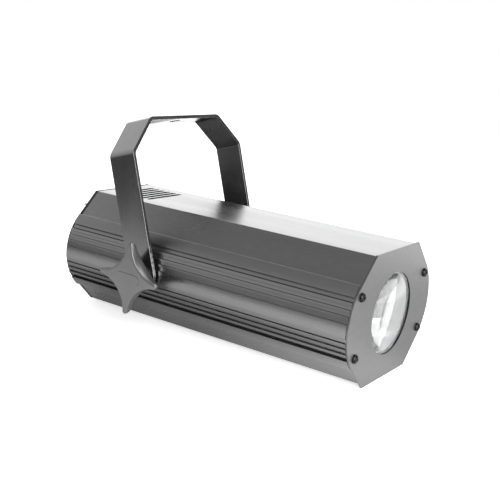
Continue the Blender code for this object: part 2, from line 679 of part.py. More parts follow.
def lead(name, points, radius, finish="wire"):
    """An inner lead along hand-placed points, smoothed, as a round tube."""
    places = [at(*point) for point in points]
    fine = []
    for k in range(len(places) - 1):
        p0, p1 = places[max(k - 1, 0)], places[k]
        p2, p3 = places[k + 1], places[min(k + 2, len(places) - 1)]
        for step in range(3):
            t = step / 3
            fine.append(0.5 * (2 * p1 + (p2 - p0) * t + (2 * p0 - 5 * p1 + 4 * p2 - p3) * t ** 2
                               + (3 * p1 - p0 - 3 * p2 + p3) * t ** 3))
    fine.append(places[-1])
    curve = bpy.data.curves.new(name, "CURVE")
    curve.dimensions = "3D"
    curve.bevel_depth = radius * MM
    curve.bevel_resolution = 1
    curve.use_fill_caps = True
    line = curve.splines.new("POLY")
    line.points.add(len(fine) - 1)
    for point, where in zip(line.points, fine):
        point.co = (*where, 1)
    place(bpy.data.objects.new(name, curve), name, finish)


def leads():
    lead("mains_lead_inner", [(-34, 366.1, -38), (-34, 360.6, -38), (-30, 354.6, -47), (-20, 352.1, -54),
                              (-16, 347, -54.5), (-16, 341.6, -54.5)], 2.4)
    lead("led_lead_inner", [(38, 300, -27.4), (48, 290, -24), (52, 262, -20), (52, 225, -20), (52, 180, -20),
                            (50, 150, -14), (40, 137, -6), (32, 140, 0), (27.5, 143, 0)], 1.8)


# Rear panel, seen from behind with +X on the left

INLET = (-34, -38)
FUSE = (4, -40)
DATA_IN, DATA_OUT = (-26, 0), (10, 0)
DISPLAY = (4, 44)
BUTTONS = {"menu": -16.5, "down": -5.5, "up": 5.5, "enter": 16.5}
BUTTON_Z = 28.0
SENSITIVITY = (40, -30)
EYE = (-44, 50)
SLOT_X, SLOT_Z0, SLOT_COUNT = 52.0, -14.0, 6


def rear_plate():
    holes = [rectangle(INLET[0] - 14, INLET[1] - 10, INLET[0] + 14, INLET[1] + 10), circle(6.4, *FUSE, 18),
             circle(12.3, *DATA_IN, 24), circle(12.3, *DATA_OUT, 24),
             rectangle(DISPLAY[0] - 17.5, DISPLAY[1] - 7.5, DISPLAY[0] + 17.5, DISPLAY[1] + 7.5),
             circle(3.7, *SENSITIVITY, 14)]
    # each button hole is turned differently, so that the sheet's fill has no triangle of points in one line
    holes += [circle(3.1, DISPLAY[0] + x, BUTTON_Z, 12, 0.02 * x) for x in BUTTONS.values()]
    holes += [circle(2.2, EYE[0] + x, EYE[1], 10) for x in (-7, 7)]
    holes += [capsule(SLOT_X, SLOT_Z0 + 8 * k, 26, 3.6, 4) for k in range(SLOT_COUNT)]
    outline = plate_outline(REAR_UPPER, REAR_LOWER)
    plate = flat("rear_plate", "black_steel", [outline, *holes, *end_screw_holes()], REAR_THICK)
    start = HOUSING_LENGTH - REAR_THICK
    plate.location = at(0, start, 0)
    flanges = []
    for name, shape, way in (("rear_flange_upper", TOP_COVER, 1), ("rear_flange_lower", BOTTOM_COVER, -1)):
        outline = folded(*shape, REAR_FLANGE, REAR_FLANGE_EDGE_Z, way)
        flange = flat(name, None, [outline], start + REAR_THICK / 2 - REAR_FLANGE_START, CUTTERS)
        flange.location = at(0, REAR_FLANGE_START, 0)
        flanges.append(flange)
    joined("rear_plate", "black_steel", plate, *flanges)


def rear_box(name, centre, half_x, half_z, near, far, finish=None, group=CUTTERS):
    """A box on the rear panel; near and far are depths counted back from the panel's face."""
    return box(name, finish, (centre[0] - half_x, HOUSING_LENGTH + near, centre[1] - half_z),
               (centre[0] + half_x, HOUSING_LENGTH + far, centre[1] + half_z), group)


def rear_rod(name, centre, radius, near, far, sides=24, finish=None, group=CUTTERS):
    start = (centre[0], HOUSING_LENGTH + near, centre[1])
    return rod(name, finish, start, far - near, radius, "Y", sides, group)


def inlet():
    body = rear_box("mains_inlet", INLET, 13.6, 9.6, -18, 1, "black_plastic", PARTS)
    rim = rear_box("inlet_rim", INLET, 24.5, 11.5, 0.3, 3.2)
    mouth = rear_box("inlet_mouth", INLET, 11.6, 7.6, -13, 6)
    screws = [rear_rod(f"inlet_screw_{k}", (INLET[0] + x, INLET[1]), 2.6, 3, 4.4, 12)
              for k, x in enumerate((-19.5, 19.5))]
    blades = [rear_box(f"inlet_blade_{k}", (INLET[0] + x, INLET[1] + z), 1.0, 2.2, -14, -4.5)
              for k, (x, z) in enumerate(((-7, -2), (7, -2), (0, 2)))]
    boolean(body, rim, "UNION")
    boolean(body, mouth)
    joined("mains_inlet", "black_plastic", body, *screws, *blades)

    where = (FUSE[0], HOUSING_LENGTH, FUSE[1])
    shell = [(4.6, 1.9), (9, 1.9), (9, 0.3), (6.1, 0.3), (6.1, -26), (0, -26), (0, -23), (4.6, -23), (4.6, 1.9)]
    turned("fuse_holder", "black_plastic", shell, "Y", where, 20)
    plug = [(0, 9), (5.8, 9), (6.8, 8), (7.2, 2.2), (4.3, 2.2), (4.3, -12), (0, -12)]
    cap = turned("fuse_cap", "black_plastic", plug, "Y", where, 20)
    drilled(cap, rear_box("fuse_cap_slot", FUSE, 5.0, 0.7, 7.6, 12))


def sockets():
    for name, centre in (("data_in_socket", DATA_IN), ("data_out_socket", DATA_OUT)):
        body = rear_rod(name, centre, 11.8, -20, 1, 28, "black_plastic", PARTS)
        rim = rear_box(f"{name}_rim", centre, 13.0, 17.0, 0.3, 2.3)
        lip = rear_rod(f"{name}_lip", centre, 10.6, 1, 3.6, 28)
        screws = [rear_rod(f"{name}_screw_{k}", (centre[0] + s * 9.6, centre[1] + s * 13.2), 2.4, 2, 3.2, 10)
                  for k, s in enumerate((-1, 1))]
        contacts = [(centre[0] + 4 * math.cos(math.radians(a)), centre[1] + 4 * math.sin(math.radians(a)))
                    for a in (30, 150, 270)]
        for tool in (rim, lip):
            boolean(body, tool, "UNION")
        if name == "data_in_socket":
            boolean(body, rear_rod(f"{name}_mouth", centre, 8.3, -13, 6, 24))
            pins = [rear_rod(f"{name}_pin_{k}", spot, 1.2, -14, -3, 8) for k, spot in enumerate(contacts)]
            joined(name, "black_plastic", body, *screws, *pins)
        else:
            groove = turned(f"{name}_groove", None, [(7.6, 6), (9.2, 6), (9.2, -9), (7.6, -9), (7.6, 6)], "Y",
                            (centre[0], HOUSING_LENGTH, centre[1]), 24, CUTTERS)
            boolean(body, groove)
            for k, spot in enumerate(contacts):
                boolean(body, rear_rod(f"{name}_hole_{k}", spot, 1.3, -9, 6, 8))
            notch = rear_box(f"{name}_latch_notch", (centre[0], centre[1] + 13.2), 3.3, 2.6, 0.2, 6)
            boolean(body, notch)
            joined(name, "black_plastic", body, *screws)
    rear_box("data_out_latch", (DATA_OUT[0], DATA_OUT[1] + 12.4), 2.9, 1.5, 0.5, 4.2, "zinc", PARTS)


def panel_controls():
    window = rear_box("display", DISPLAY, 17.1, 7.1, -7, 0.2, "display", PARTS)
    bezel = rear_box("display_bezel", DISPLAY, 19, 9, 0.3, 1.2)
    neck = rear_box("display_neck", DISPLAY, 16.8, 6.8, -1, 1.0)
    joined("display", "display", window, neck, bezel)
    for name, x in BUTTONS.items():
        profile = [(0, 2.8), (2.3, 2.8), (2.8, 2.3), (2.8, -2.4), (4.2, -2.4), (4.2, -3.6), (1.2, -3.6),
                   (1.2, -6.2), (0, -6.2)]
        turned(f"{name}_button", "black_plastic", profile, "Y", (DISPLAY[0] + x, HOUSING_LENGTH, BUTTON_Z), 12)
    skirt = [(0, 12), (5.2, 12), (6.0, 11.2), (6.6, 0.6), (3.3, 0.6), (3.3, -8), (0, -8)]
    where = (SENSITIVITY[0], HOUSING_LENGTH, SENSITIVITY[1])
    dial = turned("sensitivity_knob", "black_plastic", skirt, "Y", where, 18)
    drilled(dial, rear_box("dial_mark", (SENSITIVITY[0], SENSITIVITY[1] + 4), 0.6, 3, 11.2, 14))


def safety_eye():
    """A small steel eye for a safety cable: a bent bracket with a hole, held by two rivets."""
    foot = rear_box("safety_eye", EYE, 12, 6, 0.3, 2.3, "zinc", PARTS)
    end = EYE_REACH - 8
    tab = flat("eye_tab", None,
               [arc(0, end, 8, 0, 180, 10) + [(-8, 0.5), (8, 0.5)], circle(4.4, 0, end, 18)], 2.0, CUTTERS)
    tab.data.transform(Matrix.Rotation(-math.pi / 2, 4, "X"))
    tab.location = at(EYE[0], HOUSING_LENGTH, EYE[1] + 1)
    rivets = [rear_rod(f"eye_rivet_{k}", (EYE[0] + x, EYE[1]), 1.9, -4, 1, 14) for k, x in enumerate((-7, 7))]
    joined("safety_eye", "zinc", foot, tab, *rivets)


def build():
    front_plate()
    rear_plate()
    top_cover()
    cover("bottom_cover", BOTTOM_COVER, -1)
    for side, way in (("left", -1), ("right", 1)):
        side_profile(f"{side}_side_profile", way)
        clamp(side, way)
    end_screws()
    yoke()
    optics()
    cooling()
    chassis()
    boards()
    leads()
    inlet()
    sockets()
    panel_controls()
    safety_eye()


build()
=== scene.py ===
import math

import bmesh
import bpy
from mathutils import Matrix, Vector


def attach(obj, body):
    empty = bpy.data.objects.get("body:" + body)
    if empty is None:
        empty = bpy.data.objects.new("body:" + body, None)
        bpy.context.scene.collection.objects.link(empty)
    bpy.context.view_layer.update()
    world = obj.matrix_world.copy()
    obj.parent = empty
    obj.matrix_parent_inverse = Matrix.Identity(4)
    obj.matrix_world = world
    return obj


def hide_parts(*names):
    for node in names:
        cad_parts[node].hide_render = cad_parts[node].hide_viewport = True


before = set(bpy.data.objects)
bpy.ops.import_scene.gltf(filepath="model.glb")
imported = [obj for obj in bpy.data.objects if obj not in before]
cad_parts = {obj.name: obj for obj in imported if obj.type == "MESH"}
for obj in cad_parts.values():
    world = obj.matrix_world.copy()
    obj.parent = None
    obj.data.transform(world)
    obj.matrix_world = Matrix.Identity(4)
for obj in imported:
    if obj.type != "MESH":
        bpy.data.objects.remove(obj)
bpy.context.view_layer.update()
scene = bpy.context.scene
print("frame loaded")

# The spotlight is worked out in millimetres: x across, y behind the front plate's face, z above the axis
middleDepth = 198.3
axisHeight = 70.0
toFrame = Matrix.Scale(0.001, 4) @ Matrix.Translation((0, -middleDepth, axisHeight))


# Camera, at the photograph's place
cameraSettings = {
    "position": (-816.4, -358.6, 267.1),
    "azimuth": -56.404,
    "elevation": 13.634,
    "roll": 5.192,
    "lens": 63.163,
    "sensor": 36,
    "near": 0.01,
    "far": 20,
}


def placeCamera(settings):
    data = bpy.data.cameras.new("photoCamera")
    data.lens = settings["lens"]
    data.sensor_width = settings["sensor"]
    data.clip_start = settings["near"]
    data.clip_end = settings["far"]
    camera = bpy.data.objects.new("photoCamera", data)
    scene.collection.objects.link(camera)
    turn = (Matrix.Rotation(math.radians(settings["azimuth"]), 4, "Z")
            @ Matrix.Rotation(math.radians(90 - settings["elevation"]), 4, "X")
            @ Matrix.Rotation(math.radians(settings["roll"]), 4, "Z"))
    camera.matrix_world = Matrix.Translation(toFrame @ Vector(settings["position"])) @ turn
    scene.camera = camera


placeCamera(cameraSettings)


# Finishes
textureSettings = {
    # a noise lies mostly between these two values
    "noiseLow": 0.3,
    "noiseHigh": 0.7,
    "paintSlowScale": 24,
    "paintSpots": 0.14,
    "plasticSlowScale": 40,
    "plasticSpots": 0.15,
    "plasticGrain": 900,
    "plasticSpread": 0.05,
    "glassSmearScale": 60,
    "bumpHeight": 0.0002,
}
boardSettings = {
    "color": (0.03, 0.16, 0.08),
    "roughness": 0.4,
    "trackScale": 260,
    "spotColor": (0.06, 0.26, 0.13),
    "gapColor": (0.015, 0.1, 0.05),
    "bump": 0.2,
}


def startMaterial(name, color, roughness, metallic):
    material = bpy.data.materials.new(name)
    material.use_nodes = True
    nodes = material.node_tree.nodes
    shader = nodes["Principled BSDF"]
    shader.inputs["Base Color"].default_value = (*color, 1)
    shader.inputs["Roughness"].default_value = roughness
    shader.inputs["Metallic"].default_value = metallic
    return material, nodes, material.node_tree.links, shader


def addNoise(nodes, links, stretch, scale, detail):
    # a noise on Object coordinates; stretch squeezes it along one axis for a drawn or brushed look
    place = nodes.new("ShaderNodeTexCoord")
    mapping = nodes.new("ShaderNodeMapping")
    mapping.inputs["Scale"].default_value = stretch
    noise = nodes.new("ShaderNodeTexNoise")
    noise.inputs["Scale"].default_value = scale
    noise.inputs["Detail"].default_value = detail
    links.new(place.outputs["Object"], mapping.inputs["Vector"])
    links.new(mapping.outputs["Vector"], noise.inputs["Vector"])
    return noise


def addRange(nodes, links, source, low, high, target):
    spread = nodes.new("ShaderNodeMapRange")
    spread.inputs["From Min"].default_value = textureSettings["noiseLow"]
    spread.inputs["From Max"].default_value = textureSettings["noiseHigh"]
    spread.inputs["To Min"].default_value = low
    spread.inputs["To Max"].default_value = high
    links.new(source, spread.inputs["Value"])
    links.new(spread.outputs["Result"], target)


def addTint(nodes, links, source, colorLow, colorHigh, target):
    mix = nodes.new("ShaderNodeMix")
    mix.data_type = "RGBA"
    mix.inputs["A"].default_value = (*colorLow, 1)
    mix.inputs["B"].default_value = (*colorHigh, 1)
    links.new(source, mix.inputs["Factor"])
    links.new(mix.outputs["Result"], target)


def addBump(nodes, links, source, strength, shader):
    bump = nodes.new("ShaderNodeBump")
    bump.inputs["Strength"].default_value = strength
    bump.inputs["Distance"].default_value = textureSettings["bumpHeight"]
    links.new(source, bump.inputs["Height"])
    links.new(bump.outputs["Normal"], shader.inputs["Normal"])


def paintedMetal(name, grey, roughness, metallic=1.0, brushed=(1, 1, 1), spread=0.06, grain=1400, bump=0.08):
    # metallic paint: a fine flake grain, a slow change of gloss, and faint draw lines where it's brushed
    color = (grey, grey, grey * 1.01)
    material, nodes, links, shader = startMaterial(name, color, roughness, metallic)
    slow = addNoise(nodes, links, brushed, textureSettings["paintSlowScale"], 4)
    addRange(nodes, links, slow.outputs["Fac"], roughness - spread, roughness + spread, shader.inputs["Roughness"])
    flake = addNoise(nodes, links, brushed, grain, 2)
    low = tuple(value * (1 - textureSettings["paintSpots"]) for value in color)
    high = tuple(value * (1 + textureSettings["paintSpots"]) for value in color)
    addTint(nodes, links, flake.outputs["Fac"], low, high, shader.inputs["Base Color"])
    addBump(nodes, links, flake.outputs["Fac"], bump, shader)
    return material


def plainPlastic(name, color, roughness, bump=0.1):
    # moulded or enamelled: a fine even grain and a slow change of gloss
    material, nodes, links, shader = startMaterial(name, color, roughness, 0.0)
    spread = textureSettings["plasticSpread"]
    texture = addNoise(nodes, links, (1, 1, 1), textureSettings["plasticGrain"], 2)
    slow = addNoise(nodes, links, (1, 1, 1), textureSettings["plasticSlowScale"], 3)
    addRange(nodes, links, slow.outputs["Fac"], roughness - spread, roughness + spread, shader.inputs["Roughness"])
    low = tuple(value * (1 - textureSettings["plasticSpots"]) for value in color)
    high = tuple(min(1, value * (1 + textureSettings["plasticSpots"])) for value in color)
    addTint(nodes, links, texture.outputs["Fac"], low, high, shader.inputs["Base Color"])
    addBump(nodes, links, texture.outputs["Fac"], bump, shader)
    return material


def clearGlass(name, color, roughness, haze, clearness, bending):
    material, nodes, links, shader = startMaterial(name, color, roughness, 0.0)
    shader.inputs["Transmission Weight"].default_value = clearness
    shader.inputs["IOR"].default_value = bending
    smear = addNoise(nodes, links, (1, 1, 1), textureSettings["glassSmearScale"], 3)
    addRange(nodes, links, smear.outputs["Fac"], roughness, roughness + haze, shader.inputs["Roughness"])
    return material


def circuitBoard(name, settings):
    material, nodes, links, shader = startMaterial(name, settings["color"], settings["roughness"], 0.0)
    tracks = nodes.new("ShaderNodeTexVoronoi")
    tracks.distance = "MANHATTAN"
    tracks.inputs["Scale"].default_value = settings["trackScale"]
    place = nodes.new("ShaderNodeTexCoord")
    links.new(place.outputs["Object"], tracks.inputs["Vector"])
    addTint(nodes, links, tracks.outputs["Distance"], settings["spotColor"], settings["gapColor"],
            shader.inputs["Base Color"])
    addBump(nodes, links, tracks.outputs["Distance"], settings["bump"], shader)
    return material


finishes = {
    "cover": paintedMetal("satinGunmetal", 0.3, 0.28, brushed=(1, 0.06, 1)),
    "profile": paintedMetal("drawnGunmetal", 0.3, 0.3, brushed=(1, 0.03, 1)),
    "frontPlate": paintedMetal("plateGunmetal", 0.22, 0.36, brushed=(0.1, 1, 1), spread=0.03),
    "yoke": paintedMetal("yokeGunmetal", 0.3, 0.26, brushed=(1, 1, 0.1)),
    "blackPlate": paintedMetal("blackPowderCoat", 0.015, 0.5, metallic=0.0, grain=2600, bump=0.3),
    "screw": paintedMetal("blackenedScrew", 0.03, 0.22),
    "zinc": paintedMetal("zincPlate", 0.55, 0.3),
    "casting": paintedMetal("castSilverPaint", 0.26, 0.34, metallic=0.85, grain=2200, bump=0.2),
    "mill": paintedMetal("millAluminium", 0.7, 0.35, brushed=(1, 0.1, 1)),
    "glass": clearGlass("clearLens", (0.98, 0.99, 0.99), 0.01, haze=0.02, clearness=0.97, bending=1.49),
    "rubber": plainPlastic("frictionRubber", (0.03, 0.03, 0.03), 0.8),
    "black": plainPlastic("blackPlastic", (0.022, 0.022, 0.024), 0.45),
    "white": plainPlastic("whiteEnamel", (0.85, 0.85, 0.85), 0.3, bump=0.02),
    "board": circuitBoard("greenBoard", boardSettings),
    "emitter": plainPlastic("yellowPhosphor", (0.9, 0.7, 0.16), 0.35),
    "display": plainPlastic("redFilter", (0.05, 0.006, 0.006), 0.1, bump=0.01),
    "wire": plainPlastic("wireSheath", (0.1, 0.1, 0.11), 0.45),
}
print("finishes made")


# Making and finishing a piece
shapeSettings = {
    "mergeDistance": 0.0005,
    "flatAngle": 0.01,
    # the cut edges of folded sheet are sharper than this, and its folds are softer
    "sheetAngle": 50,
    "tolerance": 0.01,
}


def lineTo(work, vertex, point):
    end = work.verts.new(point)
    work.edges.new((vertex, end))
    return end


def arcFrom(work, vertex, centre, degrees, steps, axis=(0, -1, 0)):
    # positive turns from +x towards +z, seen from the front
    made = bmesh.ops.spin(work, geom=[vertex], cent=centre, axis=axis, angle=math.radians(degrees), steps=steps)
    return next(item for item in made["geom_last"] if isinstance(item, bmesh.types.BMVert))


def addCircle(work, radius, x, z, segments):
    matrix = Matrix.Translation((x, 0, z)) @ Matrix.Rotation(math.pi / 2, 4, "X")
    bmesh.ops.create_circle(work, segments=segments, radius=radius, matrix=matrix)


def addSlot(work, x, z, length, width, steps, y=0.0):
    # a slot's outline lying across, with round ends
    reach = (length - width) / 2
    first = work.verts.new((x + reach, y, z - width / 2))
    vertex = arcFrom(work, first, (x + reach, y, z), 180, steps)
    vertex = lineTo(work, vertex, (x - reach, y, z + width / 2))
    vertex = arcFrom(work, vertex, (x - reach, y, z), 180, steps)
    work.edges.new((vertex, first))


def addRectangle(work, x, z, halfX, halfZ, y=0.0):
    first = work.verts.new((x - halfX, y, z - halfZ))
    vertex = lineTo(work, first, (x + halfX, y, z - halfZ))
    vertex = lineTo(work, vertex, (x + halfX, y, z + halfZ))
    vertex = lineTo(work, vertex, (x - halfX, y, z + halfZ))
    work.edges.new((vertex, first))


def bevelSharp(work, width, segments=2, angle=30, chosen=None):
    limit = math.radians(angle)
    edges = [edge for edge in (chosen or work.edges)
             if len(edge.link_faces) == 2 and edge.calc_face_angle(0) > limit]
    bmesh.ops.bevel(work, geom=edges, offset=width, offset_type="OFFSET", segments=segments, profile=0.5,
                    affect="EDGES", material=-1, clamp_overlap=True)


def mergeFlat(work):
    # triangles that lie in one plane become one face
    bmesh.ops.dissolve_limit(work, angle_limit=shapeSettings["flatAngle"], verts=work.verts, edges=work.edges,
                             delimit=set())


def thicken(work, thickness):
    # a flat sheet pulled back to a plate
    mergeFlat(work)
    made = bmesh.ops.extrude_face_region(work, geom=work.faces[:])
    moved = [item for item in made["geom"] if isinstance(item, bmesh.types.BMVert)]
    bmesh.ops.translate(work, verts=moved, vec=(0, thickness, 0))
    bmesh.ops.recalc_face_normals(work, faces=work.faces)


def finishPiece(work, name, body, finish, replaced, sharp=35, place=None, merge=True):
    if merge:
        bmesh.ops.remove_doubles(work, verts=work.verts, dist=shapeSettings["mergeDistance"])
        bmesh.ops.recalc_face_normals(work, faces=work.faces)
    bmesh.ops.transform(work, matrix=toFrame @ (place or Matrix.Identity(4)), verts=work.verts)
    mesh = bpy.data.meshes.new(name)
    work.to_mesh(mesh)
    work.free()
    mesh.materials.append(finish)
    for polygon in mesh.polygons:
        polygon.use_smooth = True
    mesh.set_sharp_from_angle(angle=math.radians(sharp))
    piece = bpy.data.objects.new(name, mesh)
    scene.collection.objects.link(piece)
    # large flat faces stay evenly shaded up to their rounded edges
    even = piece.modifiers.new("evenShading", "WEIGHTED_NORMAL")
    even.keep_sharp = True
    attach(piece, body)
    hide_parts(*replaced)
    return piece


def paintHoleShade(work, axis, reach, flatness):
    # the wall and rim of a round hole about the axis take the piece's second finish, a dark one painted there as
    # shade; flatter faces keep the first
    for face in work.faces:
        centre = face.calc_center_median()
        centre[axis] = 0
        if abs(face.normal[axis]) < flatness and centre.length < reach:
            face.material_index = 1


def addPart(work, part):
    mesh = bpy.data.meshes.new("partShape")
    part.to_mesh(mesh)
    part.free()
    work.from_mesh(mesh)
    bpy.data.meshes.remove(mesh)


# Front plate: flat top and bottom, slanted corners, bowed sides; each shape is a height and the slants' x + z
plateSettings = {
    "shape": (70.0, 119.1),
    "bowRadius": 59.1,
    "thickness": 2.0,
    "edgeRound": 0.3,
    "lensHole": 44.3,
    "paintedShadeRim": 0.2,
    "screwX": 73.7,
    "screwZ": 31.7,
    "screwHole": 2.8,
    "bowSteps": 48,
    "lensHoleSteps": 128,
    "screwHoleSteps": 24,
    "wallFlatness": 0.8,
}
bowCentre = plateSettings["shape"][1] - plateSettings["bowRadius"] * math.sqrt(2)


def addPlateOutline(work, upper, lower, settings):
    # the bowed sides touch the upper slants and may cross the lower ones
    bow, reach = ((total - bowCentre) / math.sqrt(2) for height, total in (upper, lower))
    sweep = 90 - math.degrees(math.acos(min(1, reach / bow)))
    low = math.radians(sweep - 45)
    first = work.verts.new((lower[1] - lower[0], 0, -lower[0]))
    vertex = lineTo(work, first, (bowCentre + bow * math.cos(low), 0, -bow * math.sin(low)))
    vertex = arcFrom(work, vertex, (bowCentre, 0, 0), sweep, settings["bowSteps"])
    vertex = lineTo(work, vertex, (upper[1] - upper[0], 0, upper[0]))
    vertex = lineTo(work, vertex, (upper[0] - upper[1], 0, upper[0]))
    vertex = lineTo(work, vertex, (-bowCentre - bow / math.sqrt(2), 0, bow / math.sqrt(2)))
    vertex = arcFrom(work, vertex, (-bowCentre, 0, 0), sweep, settings["bowSteps"])
    vertex = lineTo(work, vertex, (lower[0] - lower[1], 0, -lower[0]))
    work.edges.new((vertex, first))
    for x in (-settings["screwX"], settings["screwX"]):
        for z in (-settings["screwZ"], settings["screwZ"]):
            addCircle(work, settings["screwHole"], x, z, settings["screwHoleSteps"])


def makeFrontPlate(settings):
    work = bmesh.new()
    addPlateOutline(work, settings["shape"], settings["shape"], settings)
    addCircle(work, settings["lensHole"], 0, 0, settings["lensHoleSteps"])
    bmesh.ops.triangle_fill(work, use_beauty=True, edges=work.edges[:])
    thicken(work, settings["thickness"])
    bevelSharp(work, settings["edgeRound"])
    # the lens hole's wall and rim get the screws' black finish as painted shade
    paintHoleShade(work, 1, settings["lensHole"] + settings["paintedShadeRim"], settings["wallFlatness"])
    plate = finishPiece(work, "frontPlateSheet", "housing", finishes["frontPlate"], ["front_plate"])
    plate.data.materials.append(finishes["screw"])


makeFrontPlate(plateSettings)
print("front plate made")


# Covers, folded from sheet
coverSettings = {
    "upper": (68.6, 115.9),
    "lower": (67.4, 114.6),
    "edgeZ": 37.6,
    "thickness": 1.0,
    "edgeRound": 0.25,
    "bendRadius": 3.0,
    "start": 2.5,
    "end": 380.4,
    "ventFirst": 315.4,
    "ventPitch": 9.0,
    "ventCount": 6,
    "ventLength": 62.0,
    "ventWidth": 5.4,
    "ventSteps": 10,
}


def addFold(work, height, total, edgeZ, start, end, bendRadius):
    # a strip from one slant's edge over the flat top to the other's
    vertex = work.verts.new((total - edgeZ, start, edgeZ))
    for x, z in ((total - height, height), (height - total, height), (edgeZ - total, edgeZ)):
        vertex = lineTo(work, vertex, (x, start, z))
    made = bmesh.ops.extrude_edge_only(work, edges=work.edges[:])
    far = [item for item in made["geom"] if isinstance(item, bmesh.types.BMVert)]
    bmesh.ops.translate(work, verts=far, vec=(0, end - start, 0))
    folds = [item for item in work.edges if len(item.link_faces) == 2]
    bmesh.ops.bevel(work, geom=folds, offset=bendRadius * math.tan(math.pi / 8), offset_type="OFFSET",
                    segments=5, profile=0.5, affect="EDGES", material=-1)


def thickenDown(work, thickness):
    # an open sheet made solid, inwards from its upper side
    bmesh.ops.recalc_face_normals(work, faces=work.faces)
    roof = max(work.faces, key=lambda face: face.calc_center_median().z)
    if roof.normal.z < 0:
        bmesh.ops.reverse_faces(work, faces=work.faces[:])
    bmesh.ops.solidify(work, geom=work.faces[:], thickness=thickness)
    bmesh.ops.recalc_face_normals(work, faces=work.faces)


def addVents(work, height, settings):
    roof = max(work.faces, key=lambda face: face.calc_center_median().z)
    rim = list(roof.edges)
    bmesh.ops.delete(work, geom=[roof], context="FACES_ONLY")
    before = set(work.edges)
    half = settings["ventWidth"] / 2
    reach = settings["ventLength"] / 2 - half
    for number in range(settings["ventCount"]):
        y = settings["ventFirst"] + number * settings["ventPitch"]
        first = work.verts.new((reach, y - half, height))
        vertex = arcFrom(work, first, (reach, y, height), 180, settings["ventSteps"], (0, 0, 1))
        vertex = lineTo(work, vertex, (-reach, y + half, height))
        vertex = arcFrom(work, vertex, (-reach, y, height), 180, settings["ventSteps"], (0, 0, 1))
        work.edges.new((vertex, first))
    slots = [item for item in work.edges if item not in before]
    bmesh.ops.triangle_fill(work, use_beauty=True, edges=rim + slots, normal=(0, 0, 1))
    mergeFlat(work)


def makeCover(name, side, settings, replaced):
    work = bmesh.new()
    height, total = settings[side]
    addFold(work, height, total, settings["edgeZ"], settings["start"], settings["end"], settings["bendRadius"])
    if side == "upper":
        addVents(work, height, settings)
    thickenDown(work, settings["thickness"])
    bevelSharp(work, settings["edgeRound"], angle=shapeSettings["sheetAngle"])
    if side == "lower":
        bmesh.ops.rotate(work, cent=(0, 0, 0), matrix=Matrix.Rotation(math.pi, 3, "Y"), verts=work.verts)
    finishPiece(work, name, "housing", finishes["cover"], [replaced])


makeCover("topCoverSheet", "upper", coverSettings, "top_cover")
makeCover("bottomCoverSheet", "lower", coverSettings, "bottom_cover")
print("covers made")


# Rear panel: a shallow tray whose flanges lie flush with the covers
panelSettings = {
    "upper": (68.7, 116.2),
    "lower": (67.5, 114.9),
    "thickness": 1.5,
    "edgeRound": 0.3,
    "length": 384.6,
    "flangeStart": 380.7,
    "flangeEdgeZ": 44.3,
    "flangeThickness": 1.2,
    "flangeRound": 0.2,
    "flangeOverlap": 0.7,
    "inlet": (-34, -38, 14, 10),
    "display": (4, 44, 17.5, 7.5),
    "fuse": (4, -40, 6.4),
    "dataIn": (-26, 0, 12.3),
    "dataOut": (10, 0, 12.3),
    "dial": (40, -30, 3.7),
    "buttonX": (-12.5, -1.5, 9.5, 20.5),
    "buttonZ": 28.0,
    "buttonHole": 3.1,
    "rivetX": (-51, -37),
    "rivetZ": 50,
    "rivetHole": 2.2,
    "slotX": 52.0,
    "slotZ": (-14, -6, 2, 10, 18, 26),
    "slotLength": 26,
    "slotWidth": 3.6,
    "largeHoleSteps": 40,
    "buttonHoleSteps": 24,
    "rivetHoleSteps": 20,
    "slotSteps": 8,
}


def makeRearPlate(settings, panel):
    work = bmesh.new()
    addPlateOutline(work, panel["upper"], panel["lower"], settings)
    for name in ("inlet", "display"):
        addRectangle(work, *panel[name])
    for name in ("fuse", "dataIn", "dataOut", "dial"):
        x, z, radius = panel[name]
        addCircle(work, radius, x, z, panel["largeHoleSteps"])
    for x in panel["buttonX"]:
        addCircle(work, panel["buttonHole"], x, panel["buttonZ"], panel["buttonHoleSteps"])
    for x in panel["rivetX"]:
        addCircle(work, panel["rivetHole"], x, panel["rivetZ"], panel["rivetHoleSteps"])
    for z in panel["slotZ"]:
        addSlot(work, panel["slotX"], z, panel["slotLength"], panel["slotWidth"], panel["slotSteps"])
    bmesh.ops.triangle_fill(work, use_beauty=True, edges=work.edges[:])
    thicken(work, panel["thickness"])
    bevelSharp(work, panel["edgeRound"])
    start = panel["length"] - panel["thickness"]
    bmesh.ops.translate(work, verts=work.verts, vec=(0, start, 0))
    for side, turn in (("upper", 0), ("lower", math.pi)):
        flange = bmesh.new()
        addFold(flange, *coverSettings[side], panel["flangeEdgeZ"], panel["flangeStart"],
                start + panel["flangeOverlap"], coverSettings["bendRadius"])
        thickenDown(flange, panel["flangeThickness"])
        bevelSharp(flange, panel["flangeRound"], angle=shapeSettings["sheetAngle"])
        bmesh.ops.rotate(flange, cent=(0, 0, 0), matrix=Matrix.Rotation(turn, 3, "Y"), verts=flange.verts)
        addPart(work, flange)
    finishPiece(work, "rearPanelTray", "housing", finishes["blackPlate"], ["rear_plate"])


makeRearPlate(plateSettings, panelSettings)
print("rear panel made")


# Side profiles: bands of the bowed skin from the axis up, as (upper height, depth)
profileSettings = {
    "radius": 58.9,
    "innerRadius": 54.0,
    "lipZ": 43.8,
    "slotZ": 37.3,
    "slotPlay": 0.42,
    "flangeSpan": 2.16,
    "flangeCorner": 1.1,
    "flangeZ": 37.5,
    "flangeDrop": 1.0,
    "wallX": 71.1,
    "wallZ": (26.9, 36.0),
    "start": 2.5,
    "end": 382.8,
    "edgeRound": 0.25,
    "outerX": 74.6,
    "lipRound": 0.5,
    "lipChamfer": 0.42,
    "lightRimPlay": 0.02,
    "stepDegrees": 1.6,
    "innerSteps": 12,
    "longEdge": 10,
    "bands": [(7.5, 0.0), (12.5, 1.5), (15.0, 0.0), (18.8, 1.5), (21.2, 0.0), (25.0, 1.5), (28.1, 0.0),
              (33.0, 2.5)],
}


